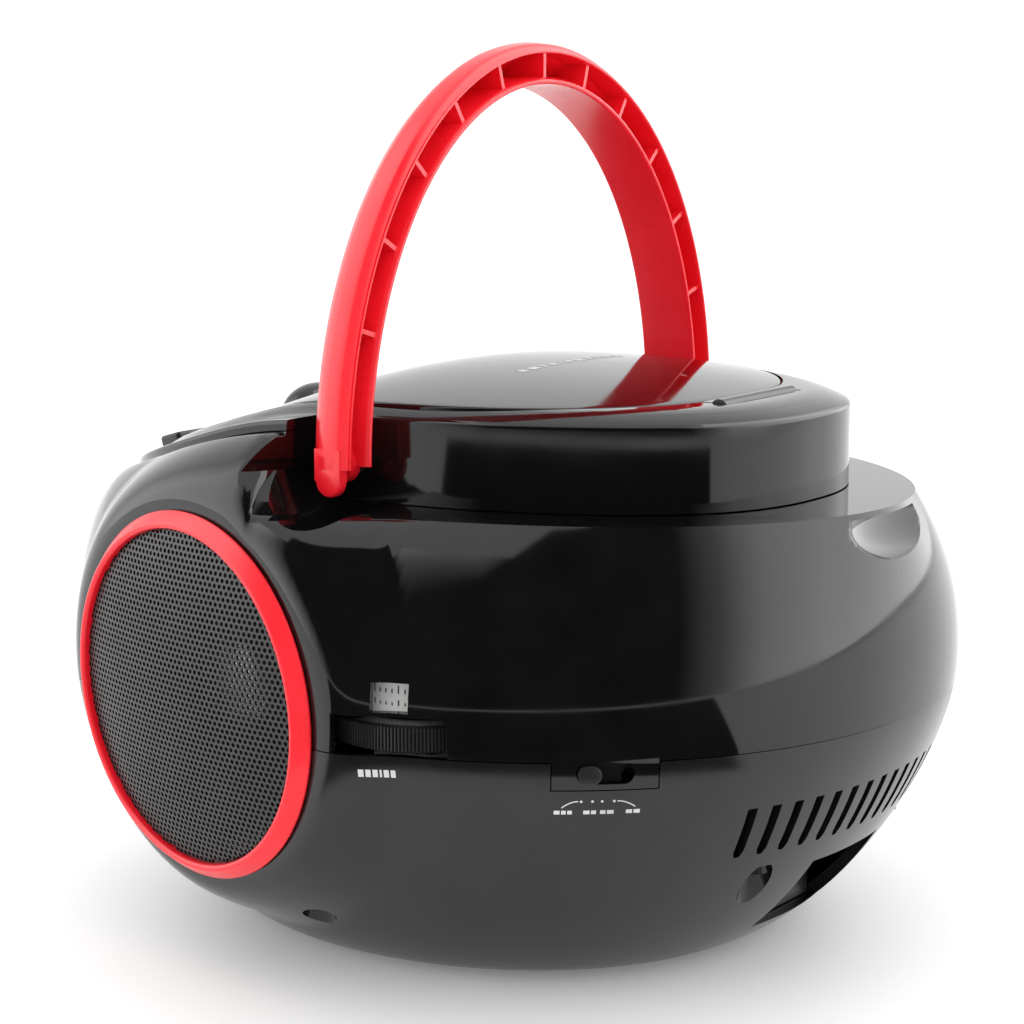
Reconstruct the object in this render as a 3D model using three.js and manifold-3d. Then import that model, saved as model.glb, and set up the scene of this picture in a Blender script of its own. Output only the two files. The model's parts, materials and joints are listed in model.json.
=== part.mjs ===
// Portable top-loading CD player with an AM/FM radio.
// Millimetres. +Z is up, -Y is the front, +X is the user's right.
// The origin is on the table under the middle of the case.

import * as THREE from 'three';
import Module from 'manifold-3d';
import { mergeVertices } from 'three/addons/utils/BufferGeometryUtils.js';

const wasm = await Module();
wasm.setup();

// ---------------------------------------------------------------- driving dimensions

const GAP = 0.3;                 // between pieces that touch
const RUNNING_GAP = 0.15;        // between a pin and the hole it turns in
const SHELL_WALL = 2.4;
const FOOT_HEIGHT = 2.5;

// Case, seen from above: a rounded oval. Its widest level is a little above the parting line.
const CASE_HALF_WIDTH = 113.3;
const CASE_HALF_DEPTH = 126;
const CASE_ROUNDNESS = 2.1;      // exponent of the superellipse
const CASE_FRONT_ROUNDNESS = 1.9;
const PARTING_Z = 70;
const WIDEST_Z = 78;
const BASE_RATIO = 0.61;         // size of the base against the parting line
const BASE_ROUNDNESS = 1.433;

// Ledge round the back of the raised deck, where the folded handle lies.
const LEDGE_Z = 122.6;
const LEDGE_HALF_WIDTH = 86;
const LEDGE_REAR = 117.8;
const LEDGE_ROUNDNESS = 1.95;

const SCOOP_HALF_WIDTH = 30;
const SCOOP_HEIGHT = 12;
const SCOOP_REACH = 12.5;
const SCOOP_OUTSIDE = 9;         // its middle lies this far behind the ledge's edge
const SCOOP_LIP = 1.4;

// Raised deck. It is narrow behind the handle and wide in front of it.
const DECK_EDGE_Z = 144.7;
const DECK_HALF_WIDTH = 70.5;
const DECK_REAR = 97.1;
const DECK_WIDEST_Y = -20;
const DECK_ROUNDNESS = 2.35;
const DECK_DRAFT = 0.8;
const FRONT_DECK_HALF_WIDTH = 84;
const FRONT_DECK_FRONT = -106;
const FRONT_DECK_ROUNDNESS = 2.3;
const DECK_SLOPE_START_Y = -15;
const DECK_SLOPE = 0.29;
const DECK_LIP = 3;              // how far the deck stands above the front of the case
const DECK_CROWN = 3;            // rise from the deck's edge to the lid's seam
const DECK_CROWN_BAND = 0.11;    // share of the deck's radius that this rise takes
const DECK_PLATE = 3.6;
const DECK_WALL = 2.4;
const DECK_SUPPORT = 5;          // how far the case reaches in under the deck's edge

// Lid
const LID_HALF_WIDTH = 66;
const LID_REAR = 76;
const LID_FRONT = -68;
const LID_ROUNDNESS = 2.2;
const LID_CROWN = 5.6;
const LID_WALL = 2;
const LID_SEAT = 1.7;
const LID_GAP = 0.5;
const HINGE_Y = 79.3;
const HINGE_Z = 146.2;
const HINGE_HALF_LENGTH = 18;
const HINGE_RADIUS = 2.6;
const HINGE_PIN_RADIUS = 0.9;

// Disc well and drive
const WELL_RADIUS = 62;
const WELL_Y = 5;
const WELL_FLOOR_Z = 122.6;
const WELL_WALL = 2.2;
const HUB_RADIUS = 7.4;
const HUB_TOP_Z = 129;

// Carrying handle
const HANDLE_Y = 5;
const HANDLE_Z = 133;
const HANDLE_INNER_HALF_WIDTH = 76;
const HANDLE_INNER_HEIGHT = 93.7;
const HANDLE_THICKNESS = 9.7;
const HANDLE_CROWN = 1.4;
const HANDLE_HALF_DEPTH = 9;
const HANDLE_WALL = 2;
const HANDLE_RIBS = 11;
const HANDLE_RIB_PITCH = 0.078;  // share of the arch between two ribs
const HANDLE_PIN_RADIUS = 3;
const HANDLE_PIN_DEPTH = 5;      // how far each pin reaches into its leg
const HANDLE_BEVEL = 8;          // depth of the bevel along the front of the outer face
const TONGUE_RADIUS = 4;
const TONGUE_DROP = 3.1;         // the rounded end of each leg's outer face
const TONGUE_REAR = 3;
const TONGUE_THICKNESS = 2.9;
const NOTCH_RADIUS = 12.4;

// Loudspeakers
const SPEAKER_X = 104;
const SPEAKER_Y = -22;
const SPEAKER_Z = 75;
const SPEAKER_YAW_DEG = 11;      // how far each one is turned towards the front
const SPEAKER_PITCH_DEG = -2;    // and up
const RING_RADIUS = 47.3;
const RING_WIDTH = 4.2;
const RING_HEIGHT = 4.4;
const SPEAKER_HOLE_RADIUS = 45.2;
const POD_BLEND = 18;            // width of the smooth band round each speaker
const GRILLE_EDGE = 2.6;         // height of the grille at the ring
const GRILLE_DOME = 5;
const MAGNET_RADIUS = 22;

// Tuning wheel and the volume wheel opposite it
const WHEEL_RADIUS = 24;
const WHEEL_THICKNESS = 6.8;
const WHEEL_Z = 70.8;
const WHEEL_X = 84.8;
const WHEEL_Y = 36.8;
const WHEEL_TEETH = 40;
const WHEEL_SLOT_Z = 79.6;
const WHEEL_SLOT_HALF_LENGTH = 14.2;
const DIAL_RADIUS = 17.5;
const DIAL_TOP_Z = 90;

// Function switch
const SWITCH_X = 82.6;
const SWITCH_Y = 88.7;
const SWITCH_Z = 67;
const SWITCH_SLOT_LENGTH = 13.9;
const SWITCH_SLOT_HEIGHT = 5.2;
const SWITCH_TRAVEL = 7.6;
const SWITCH_TAB_LENGTH = 25.5;
const SWITCH_TAB_BOTTOM_Z = 63;

// Cooling slots in the back
const VENT_COUNT = 16;
const VENT_PITCH = 6.9;
const VENT_WIDTH = 2.8;
const VENT_DEPTH = 30;
const VENT_BOTTOM_Z = 40.4;
const VENT_TOP_Z = 54.5;

// Mains inlet, battery bay, screws and feet
const INLET_HALF_WIDTH = 17;
const INLET_BOTTOM_Z = 12;
const INLET_TOP_Z = 33;
const INLET_FACE_Y = 88;
const BAY_HALF_WIDTH = 53;
const BAY_HALF_DEPTH = 42;
const BAY_TOP_Z = 33;
const DOOR_THICKNESS = 2.2;
const FOOT_RADIUS = 7;
const FOOT_X = 34;
const FOOT_Y = 52;
const SCREW_SEAT_Z = 36;
const SCREW_HEAD_RADIUS = 3.1;
const SCREW_HOLE_RADIUS = 4.4;

// Keys and display at the front
const KEY_COUNT = 5;
const KEY_PITCH = 17;
const KEY_WIDTH = 13.5;
const KEY_DEPTH = 8;
const KEY_Y = -88;
const KEY_STAND = 2.2;
const KEY_PRESS = 1.4;
const DISPLAY_HALF_WIDTH = 25;
const DISPLAY_BOTTOM_Z = 86;
const DISPLAY_TOP_Z = 103;

// ---------------------------------------------------------------- materials

function plastic(color, roughness) {
  return new THREE.MeshStandardMaterial({ color, roughness, metalness: 0 });
}

function metal(color, roughness) {
  return new THREE.MeshStandardMaterial({ color, roughness, metalness: 1 });
}

const glossBlack = () => plastic(0x0a0a0b, 0.12);
const satinBlack = () => plastic(0x1b1b1d, 0.35);
const red = () => plastic(0xd8121c, 0.3);
const darkPaint = () => plastic(0x2b2c2e, 0.5);
const paper = () => plastic(0x1d1d1e, 0.9);
const rubber = () => plastic(0x151515, 0.9);
const steel = () => metal(0xb8babd, 0.35);
const greenBoard = () => plastic(0x1e5a34, 0.6);
const ferrite = () => plastic(0x35302e, 0.7);
const white = () => plastic(0xe4e3de, 0.4);
const smoke = () => plastic(0x1a2024, 0.1);

// ---------------------------------------------------------------- solids

function toSolid(geometry) {
  const bare = geometry.index ? geometry.clone() : geometry;
  bare.deleteAttribute('normal');
  bare.deleteAttribute('uv');
  const merged = mergeVertices(bare, 1e-5);
  return new wasm.Manifold(new wasm.Mesh({
    numProp: 3,
    vertProperties: new Float32Array(merged.attributes.position.array),
    triVerts: new Uint32Array(merged.index.array),
  }));
}

function toGeometry(solid) {
  const mesh = solid.getMesh();
  const geometry = new THREE.BufferGeometry();
  geometry.setAttribute('position', new THREE.BufferAttribute(mesh.vertProperties, 3));
  geometry.setIndex(new THREE.BufferAttribute(mesh.triVerts, 1));
  geometry.computeVertexNormals();
  return geometry;
}

function box(x0, x1, y0, y1, z0, z1) {
  const geometry = new THREE.BoxGeometry(x1 - x0, y1 - y0, z1 - z0);
  geometry.translate((x0 + x1) / 2, (y0 + y1) / 2, (z0 + z1) / 2);
  return toSolid(geometry);
}

// A matrix that puts the local Z axis along `direction` at `origin`.
function aim(origin, direction) {
  const turn = new THREE.Quaternion();
  turn.setFromUnitVectors(new THREE.Vector3(0, 0, 1), direction.clone().normalize());
  return new THREE.Matrix4().compose(origin, turn, new THREE.Vector3(1, 1, 1));
}

// A turned solid. `profile` lists [radius, height] and starts and ends on the axis.
function turned(profile, segments, origin, direction) {
  const points = profile.map(([radius, height]) => new THREE.Vector2(radius, height));
  const geometry = new THREE.LatheGeometry(points, segments);
  geometry.rotateX(Math.PI / 2);
  geometry.applyMatrix4(aim(origin, direction));
  const solid = toSolid(geometry);
  return solid.volume() < 0 ? flip(geometry) : solid;
}

function flip(geometry) {
  const flipped = geometry.clone();
  const index = flipped.index.array;
  for (let i = 0; i < index.length; i += 3) {
    [index[i], index[i + 1]] = [index[i + 1], index[i]];
  }
  return toSolid(flipped);
}

const UP = new THREE.Vector3(0, 0, 1);

function rod(radius, from, to, segments = 24) {
  const direction = to.clone().sub(from);
  const length = direction.length();
  return turned([[0, 0], [radius, 0], [radius, length], [0, length]], segments, from, direction);
}

function vec(x, y, z) {
  return new THREE.Vector3(x, y, z);
}

// A closed solid through rings of points, bottom ring first.
function loft(rings) {
  const count = rings[0].length;
  const positions = [];
  rings.flat().forEach((point) => positions.push(point.x, point.y, point.z));
  const middle = (ring) => ring.reduce((sum, p) => sum.add(p), vec(0, 0, 0)).divideScalar(count);
  const bottom = positions.length / 3;
  const top = bottom + 1;
  [middle(rings[0]), middle(rings.at(-1))].forEach((p) => positions.push(p.x, p.y, p.z));
  const index = [];
  for (let ring = 0; ring < rings.length - 1; ring += 1) {
    for (let i = 0; i < count; i += 1) {
      const a = ring * count + i;
      const b = ring * count + ((i + 1) % count);
      index.push(a, b, b + count, a, b + count, a + count);
    }
  }
  const last = (rings.length - 1) * count;
  for (let i = 0; i < count; i += 1) {
    const next = (i + 1) % count;
    index.push(bottom, next, i, top, last + i, last + next);
  }
  const geometry = new THREE.BufferGeometry();
  geometry.setAttribute('position', new THREE.Float32BufferAttribute(positions, 3));
  geometry.setIndex(index);
  return toSolid(geometry);
}

// ---------------------------------------------------------------- outlines and surfaces

const OUTLINE_POINTS = 44;

// Point of a superellipse with its own front and rear halves, joined at y = widestY.
function outlinePoint(angle, { halfWidth, rear, front, widestY = 0, roundness }) {
  const c = Math.cos(angle);
  const s = Math.sin(angle);
  const depth = s > 0 ? rear - widestY : widestY - front;
  return {
    x: halfWidth * Math.sign(c) * Math.abs(c) ** (2 / roundness),
    y: widestY + depth * Math.sign(s) * Math.abs(s) ** (2 / roundness),
  };
}

function angles(count = OUTLINE_POINTS) {
  return Array.from({ length: count }, (_, i) => (2 * Math.PI * i) / count);
}

// How far out a place is in an outline: 0 in the middle, 1 on the edge.
function outlineShare(x, y, { halfWidth, rear, front, widestY = 0, roundness }) {
  const depth = y > widestY ? rear - widestY : widestY - front;
  const across = Math.abs(x / halfWidth) ** roundness;
  const along = Math.abs((y - widestY) / depth) ** roundness;
  return (across + along) ** (1 / roundness);
}

function grow(outline, amount) {
  return {
    ...outline,
    halfWidth: outline.halfWidth + amount,
    rear: outline.rear + amount,
    front: outline.front - amount,
  };
}

const deckOutline = {
  halfWidth: DECK_HALF_WIDTH,
  rear: DECK_REAR,
  front: FRONT_DECK_FRONT + 3,
  widestY: DECK_WIDEST_Y,
  roundness: DECK_ROUNDNESS,
};
const frontDeckOutline = {
  halfWidth: FRONT_DECK_HALF_WIDTH,
  rear: -FRONT_DECK_FRONT,
  front: FRONT_DECK_FRONT,
  roundness: FRONT_DECK_ROUNDNESS,
};
const lidOutline = {
  halfWidth: LID_HALF_WIDTH,
  rear: LID_REAR,
  front: LID_FRONT,
  roundness: LID_ROUNDNESS,
};

function prism(outline, z0, z1, taper = 0) {
  const ring = (shape, z) => angles().map((angle) => {
    const { x, y } = outlinePoint(angle, shape);
    return vec(x, y, z);
  });
  return loft([ring(outline, z0), ring(grow(outline, -taper), z1)]);
}

function smooth(from, to, value) {
  const t = THREE.MathUtils.clamp((value - from) / (to - from), 0, 1);
  return t * t * (3 - 2 * t);
}

// Height of the deck's edge line, which slopes down towards the front.
function deckLine(y) {
  const past = DECK_SLOPE_START_Y - y;
  const softness = 8;
  const slide = softness * Math.log1p(Math.exp(past / softness));
  return DECK_EDGE_Z - DECK_SLOPE * slide;
}

function deckHeight(x, y) {
  const inward = (1 - outlineShare(x, y, deckOutline)) / DECK_CROWN_BAND;
  return deckLine(y) + DECK_CROWN * THREE.MathUtils.clamp(inward, 0, 1) ** 0.7;
}

function lidHeight(x, y) {
  const share = outlineShare(x, y, lidOutline);
  return deckLine(y) + DECK_CROWN + LID_CROWN * Math.max(0, 1 - share * share);
}

// Everything below a height surface, out to `reach` times the outline.
function below(height, outline, shares, offset) {
  const rows = shares.map((share) => angles().map((angle) => {
    const { x, y } = outlinePoint(angle, outline);
    const px = x * share;
    const py = outline.widestY ? outline.widestY + (y - outline.widestY) * share : y * share;
    return vec(px, py, height(px, py) + offset);
  }));
  const foot = rows[0].map((point) => vec(point.x, point.y, FOOT_HEIGHT));
  return loft([foot, ...rows]);
}

const DECK_SHARES = [1.8, 1.001, 0.96, 0.92, 0.89, 0.6, 0.2];
const LID_SHARES = [1.1, 1, 0.8, 0.55, 0.25];

const belowDeck = (offset) => below(deckHeight, deckOutline, DECK_SHARES, offset);
const belowLid = (offset) => below(lidHeight, lidOutline, LID_SHARES, offset);

// The flat face that each speaker sits on.
function speakerFrame(side) {
  const yaw = THREE.MathUtils.degToRad(SPEAKER_YAW_DEG);
  const pitch = THREE.MathUtils.degToRad(SPEAKER_PITCH_DEG);
  return {
    centre: vec(side * SPEAKER_X, SPEAKER_Y, SPEAKER_Z),
    normal: vec(
      side * Math.cos(yaw) * Math.cos(pitch), -Math.sin(yaw) * Math.cos(pitch), Math.sin(pitch),
    ),
  };
}

// Moves a point of the case level onto the speaker's flat face, fading out over POD_BLEND.
function withSpeakerFace(point, inset) {
  const { centre, normal } = speakerFrame(Math.sign(point.x) || 1);
  const offset = point.clone().sub(centre);
  const height = offset.dot(normal);
  const radius = offset.addScaledVector(normal, -height).length();
  const share = 1 - smooth(RING_RADIUS + 1, RING_RADIUS + 1 + POD_BLEND, radius);
  const outwards = vec(normal.x, normal.y, 0).normalize();
  return point.addScaledVector(outwards, -(height + inset) * share / normal.dot(outwards));
}

// Upper case: t runs from the parting line (below 0) through the widest level (0) to the top (1).
const PARTING_T = (PARTING_Z - WIDEST_Z) / (LEDGE_Z - WIDEST_Z);
const UPPER_LEVELS = [PARTING_T, 0, 0.3, 0.55, 0.75, 0.9, 1];

// The case at its widest level. Its front half is a little less square than its rear half.
function casePoint(angle, inset) {
  return outlinePoint(angle, {
    halfWidth: CASE_HALF_WIDTH - inset,
    rear: CASE_HALF_DEPTH - inset,
    front: inset - CASE_HALF_DEPTH,
    roundness: Math.sin(angle) < 0 ? CASE_FRONT_ROUNDNESS : CASE_ROUNDNESS,
  });
}

function upperPoint(angle, t, inset) {
  const wide = casePoint(angle, inset);
  const ledge = outlinePoint(angle, {
    halfWidth: LEDGE_HALF_WIDTH - inset,
    rear: LEDGE_REAR - inset,
    front: FRONT_DECK_FRONT + inset,
    roundness: LEDGE_ROUNDNESS,
  });
  const front = outlinePoint(angle, grow(frontDeckOutline, -inset));
  const atFront = 1 - smooth(-8, 6, wide.y);
  const roundProfile = 1 - smooth(0, 60, wide.y);
  const top = {
    x: THREE.MathUtils.lerp(ledge.x, front.x, atFront),
    y: THREE.MathUtils.lerp(ledge.y, front.y, atFront),
  };
  const topZ = THREE.MathUtils.lerp(LEDGE_Z, deckLine(top.y) - DECK_LIP, atFront) + 1 - inset;
  const round = Math.sqrt(Math.max(0, 1 - t * t));
  const flat = 1 - t * t;
  const share = THREE.MathUtils.lerp(flat, round, roundProfile);
  const rise = t < 0 ? LEDGE_Z - WIDEST_Z : topZ - WIDEST_Z;
  return withSpeakerFace(vec(
    top.x + (wide.x - top.x) * share,
    top.y + (wide.y - top.y) * share,
    WIDEST_Z + t * rise,
  ), inset);
}

function upperBody(inset) {
  const rings = UPPER_LEVELS.map((t) => angles().map((angle) => upperPoint(angle, t, inset)));
  const crown = rings.at(-1).map((p) => vec(p.x * 0.98, p.y * 0.98, p.z + DECK_LIP));
  return loft([...rings, crown]);
}

// Lower case: s runs from the parting line (0) to the base (1).
const LOWER_STEPS = 6;

function lowerPoint(angle, step, inset) {
  const turn = (step / LOWER_STEPS) * (Math.PI / 2);
  const down = Math.sin(turn) ** (2 / BASE_ROUNDNESS);
  const round = Math.cos(turn) ** (2 / BASE_ROUNDNESS);
  const parting = upperPoint(angle, PARTING_T, 0);
  const share = BASE_RATIO + (1 - BASE_RATIO) * round;
  const outline = casePoint(angle, 0);
  const atParting = 1 - PARTING_T * PARTING_T * 0.8 * (1 - LEDGE_HALF_WIDTH / CASE_HALF_WIDTH);
  const size = share * atParting;
  const length = Math.hypot(outline.x, outline.y);
  const shrink = (length * size - inset) / length;
  const floor = FOOT_HEIGHT + inset;
  const z = PARTING_Z - (PARTING_Z - floor) * down;
  const point = withSpeakerFace(vec(outline.x * shrink, outline.y * shrink, z), inset);
  if (step > 0) return point;
  const rim = Math.hypot(parting.x, parting.y);
  return vec(parting.x * (1 - inset / rim), parting.y * (1 - inset / rim), PARTING_Z);
}

function lowerBody(inset) {
  const rings = [];
  for (let step = LOWER_STEPS; step >= 0; step -= 1) {
    rings.push(angles().map((angle) => lowerPoint(angle, step, inset)));
  }
  return loft(rings);
}

// ---------------------------------------------------------------- places on the case

const wheelNormal = vec(0.96, 0.28, 0).normalize();
const switchNormal = vec(0.764, 0.645, 0).normalize();
const switchAlong = vec(-switchNormal.y, switchNormal.x, 0);

function sided(vector, side) {
  return vec(side * vector.x, vector.y, vector.z);
}

// A box that stands upright and faces along `normal`.
function facingBox(centre, normal, halfLength, halfDepth, z0, z1) {
  const geometry = new THREE.BoxGeometry(2 * halfDepth, 2 * halfLength, z1 - z0);
  geometry.rotateZ(Math.atan2(normal.y, normal.x));
  geometry.translate(centre.x, centre.y, (z0 + z1) / 2);
  return toSolid(geometry);
}

function stadium(length, height, depth) {
  const shape = new THREE.Shape();
  const radius = height / 2;
  const reach = length / 2 - radius;
  shape.absarc(reach, 0, radius, -Math.PI / 2, Math.PI / 2);
  shape.absarc(-reach, 0, radius, Math.PI / 2, 1.5 * Math.PI);
  const options = { depth, bevelEnabled: false, curveSegments: 8 };
  return new THREE.ExtrudeGeometry(shape, options);
}

// Puts a piece drawn in XY, with Z as depth, on an upright face of the case.
function onFace(geometry, centre, normal, depthInside) {
  const along = vec(-normal.y, normal.x, 0);
  const placed = geometry.clone();
  const basis = new THREE.Matrix4().makeBasis(along, UP, normal);
  placed.applyMatrix4(basis);
  const start = centre.clone().addScaledVector(normal, -depthInside);
  placed.translate(start.x, start.y, start.z);
  return toSolid(placed);
}

function speakerHole(side) {
  const { centre, normal } = speakerFrame(side);
  const from = centre.clone().addScaledVector(normal, -25);
  const to = centre.clone().addScaledVector(normal, 25);
  return rod(SPEAKER_HOLE_RADIUS, from, to, 36);
}

function wheelSlot(side) {
  const surface = sided(vec(WHEEL_X, WHEEL_Y, 0).addScaledVector(wheelNormal, WHEEL_RADIUS), side);
  const normal = sided(wheelNormal, side);
  return facingBox(surface, normal, WHEEL_SLOT_HALF_LENGTH, 12, PARTING_Z - 1, WHEEL_SLOT_Z);
}

function scaleWindowHole() {
  const surface = vec(WHEEL_X, WHEEL_Y, 0).addScaledVector(wheelNormal, WHEEL_RADIUS);
  return facingBox(surface, wheelNormal, 4.6, 12, WHEEL_SLOT_Z + 0.9, WHEEL_SLOT_Z + 8);
}

const screwPlaces = [[90.5, 7], [34.6, 101.5], [56, -86]].flatMap(([x, y]) => [[x, y], [-x, y]]);

// ---------------------------------------------------------------- the case

const NOTCH_Y = HANDLE_Y - NOTCH_RADIUS;

function handleNotch(side) {
  const from = vec(side * (DECK_HALF_WIDTH - 1), HANDLE_Y, HANDLE_Z);
  const to = vec(side * (CASE_HALF_WIDTH + 10), HANDLE_Y + 14, HANDLE_Z);
  return rod(NOTCH_RADIUS, from, to, 28);
}

function overLedge(z) {
  return box(-140, 140, HANDLE_Y, 140, z, 170);
}

// The space above the case: the deck's underside in front, the ledge behind, a notch for each leg.
function caseTop(drop) {
  let solid = belowDeck(-DECK_LIP - drop);
  solid = solid.subtract(overLedge(LEDGE_Z - drop));
  const towerSide = DECK_HALF_WIDTH + DECK_DRAFT + GAP;
  const start = NOTCH_Y - drop;
  const end = HANDLE_Y + 1;
  solid = solid.subtract(box(-towerSide, towerSide, start, end, LEDGE_Z - drop, 170));
  solid = solid.subtract(box(-200, 200, start + 0.01, end, HANDLE_Z, 170));
  return solid;
}

// A crescent under the ledge's rear edge, where fingers reach under the folded handle.
function fingerScoop(wall) {
  const geometry = new THREE.SphereGeometry(1, 20, 12);
  geometry.scale(SCOOP_HALF_WIDTH + wall, SCOOP_REACH + wall, SCOOP_HEIGHT + wall);
  geometry.translate(0, LEDGE_REAR + SCOOP_OUTSIDE, LEDGE_Z - SCOOP_LIP);
  return toSolid(geometry).intersect(box(-60, 60, 60, 140, 60, LEDGE_Z - SCOOP_LIP + wall));
}

// The hole in the top of the case under the deck, with room for the keys.
function deckOpening(clearance) {
  const round = prism(grow(deckOutline, -DECK_SUPPORT - clearance), 60, 200);
  const keyRow = (KEY_COUNT * KEY_PITCH) / 2 + 2 - clearance;
  return round.add(box(-keyRow, keyRow, KEY_Y - 9 + clearance, KEY_Y + 12, 60, 200));
}

function upperShell() {
  let shell = upperBody(0).intersect(caseTop(0));
  const opening = deckOpening(0);
  const inside = upperBody(SHELL_WALL).intersect(caseTop(SHELL_WALL));
  const notchFloor = box(-200, 200, NOTCH_Y - SHELL_WALL, HANDLE_Y + NOTCH_RADIUS + 4, 116.5, 200);
  shell = shell.subtract(inside.subtract(notchFloor.subtract(opening)));
  shell = shell.subtract(opening);
  for (const side of [-1, 1]) {
    shell = shell.subtract(handleNotch(side));
    shell = shell.subtract(speakerHole(side));
    shell = shell.subtract(wheelSlot(side));
  }
  shell = shell.subtract(scaleWindowHole());
  shell = shell.add(fingerScoop(SHELL_WALL).intersect(upperBody(0)).intersect(caseTop(0)));
  shell = shell.subtract(fingerScoop(0));
  shell = shell.subtract(displayHole(0));
  shell = shell.subtract(box(-200, 200, -200, 200, 0, PARTING_Z));
  return shell.add(switchTab());
}

function switchTabBlock(outer, clearance) {
  const centre = vec(SWITCH_X, SWITCH_Y, 0);
  const half = SWITCH_TAB_LENGTH / 2 + clearance;
  const bottom = SWITCH_TAB_BOTTOM_Z - clearance;
  return facingBox(centre, switchNormal, half, outer, bottom, PARTING_Z + 3);
}

// The upper shell reaches below the parting line round the switch.
function switchTab() {
  const skin = lowerBody(0).add(upperBody(0)).subtract(lowerBody(SHELL_WALL).add(upperBody(SHELL_WALL)));
  const slot = stadium(SWITCH_SLOT_LENGTH, SWITCH_SLOT_HEIGHT, 30);
  const centre = vec(SWITCH_X, SWITCH_Y, SWITCH_Z);
  return skin.intersect(switchTabBlock(10, 0)).subtract(onFace(slot, centre, switchNormal, 15));
}

// Each slot is cut square to the curved back at its own place.
function ventSlots() {
  let slots = null;
  for (let i = 0; i < VENT_COUNT; i += 1) {
    const x = (i - (VENT_COUNT - 1) / 2) * VENT_PITCH;
    const normal = vec(x, CASE_HALF_DEPTH, 0).normalize();
    const back = vec(x, CASE_HALF_DEPTH - x * x / (2 * CASE_HALF_DEPTH), 0);
    const slot = facingBox(back, normal, VENT_WIDTH / 2, VENT_DEPTH, VENT_BOTTOM_Z, VENT_TOP_Z);
    slots = slots ? slots.add(slot) : slot;
  }
  return slots;
}

function lowerShell() {
  const rim = PARTING_Z - GAP;
  let shell = lowerBody(0).subtract(lowerBody(SHELL_WALL));
  shell = shell.add(batteryBay()).intersect(lowerBody(0)).subtract(bayInside());
  for (const [x, y] of screwPlaces) {
    const post = rod(SCREW_HOLE_RADIUS + 1.6, vec(x, y, 1), vec(x, y, 40), 20);
    shell = shell.add(post.intersect(lowerBody(0.1)));
    shell = shell.subtract(rod(SCREW_HOLE_RADIUS, vec(x, y, 0), vec(x, y, SCREW_SEAT_Z), 24));
    shell = shell.subtract(rod(1.9, vec(x, y, 30), vec(x, y, 50), 12));
  }
  shell = shell.subtract(ventSlots());
  shell = shell.subtract(box(
    -INLET_HALF_WIDTH, INLET_HALF_WIDTH, INLET_FACE_Y - 6, 140, INLET_BOTTOM_Z, INLET_TOP_Z,
  ));
  for (const side of [-1, 1]) shell = shell.subtract(speakerHole(side));
  shell = shell.subtract(switchTabBlock(14, GAP));
  return shell.subtract(box(-200, 200, -200, 200, rim, 200));
}

// Open box for six cells, closed by the door underneath.
function batteryBay() {
  const wall = 2;
  const outer = box(
    -BAY_HALF_WIDTH - wall, BAY_HALF_WIDTH + wall,
    -BAY_HALF_DEPTH - wall, BAY_HALF_DEPTH + wall,
    FOOT_HEIGHT, BAY_TOP_Z + wall,
  );
  return outer.subtract(bayInside());
}

function bayInside() {
  return box(-BAY_HALF_WIDTH, BAY_HALF_WIDTH, -BAY_HALF_DEPTH, BAY_HALF_DEPTH, 0, BAY_TOP_Z);
}

function displayHole(clearance) {
  return box(
    -DISPLAY_HALF_WIDTH - clearance, DISPLAY_HALF_WIDTH + clearance,
    -140, -90,
    DISPLAY_BOTTOM_Z - clearance, DISPLAY_TOP_Z + clearance,
  );
}

function topDeck() {
  const slab = belowDeck(0);
  const rearRegion = box(-200, 200, NOTCH_Y + GAP, 200, LEDGE_Z + GAP, 200);
  const frontRegion = box(-200, 200, -200, NOTCH_Y, 60, 200);
  const tower = prism(grow(deckOutline, DECK_DRAFT), LEDGE_Z, 170, 2 * DECK_DRAFT);
  const hollow = prism(grow(deckOutline, -DECK_WALL), 60, 200).intersect(belowDeck(-DECK_PLATE));
  const rear = tower.intersect(rearRegion).intersect(slab).subtract(hollow);
  const front = prism(frontDeckOutline, 60, 200)
    .intersect(frontRegion).intersect(slab).subtract(belowDeck(GAP - DECK_LIP));
  const middle = vec(0, WELL_Y, WELL_FLOOR_Z);
  const cupFrom = vec(0, WELL_Y, WELL_FLOOR_Z - WELL_WALL);
  const cup = rod(WELL_RADIUS + WELL_WALL, cupFrom, vec(0, WELL_Y, 160), 40).intersect(belowDeck(-0.5));
  const plate = deckOpening(GAP).intersect(slab).subtract(belowDeck(-DECK_PLATE));
  let deck = rear.add(front).add(plate).add(cup);
  deck = deck.subtract(rod(WELL_RADIUS, middle, vec(0, WELL_Y, 200), 40));
  deck = deck.subtract(prism(grow(lidOutline, LID_GAP), 100, 200).subtract(belowDeck(-LID_SEAT)));
  deck = deck.subtract(hingeTrough());
  deck = deck.subtract(rod(HUB_RADIUS + 3, vec(0, WELL_Y, 110), vec(0, WELL_Y, 130), 32));
  deck = deck.subtract(box(-7, 7, WELL_Y + 12, WELL_Y + 60, 110, 130));
  for (const side of [-1, 1]) {
    const inner = vec(side * 60, HANDLE_Y, HANDLE_Z);
    deck = deck.subtract(rod(HANDLE_PIN_RADIUS - 0.8, inner, vec(side * 80, HANDLE_Y, HANDLE_Z), 16));
  }
  for (let i = 0; i < KEY_COUNT; i += 1) deck = deck.subtract(keyBlock(i, GAP, 12, 12));
  return deck;
}

// ---------------------------------------------------------------- lid

function hingeAxis(halfLength, radius) {
  return rod(radius, vec(-halfLength, HINGE_Y, HINGE_Z), vec(halfLength, HINGE_Y, HINGE_Z), 24);
}

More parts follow.
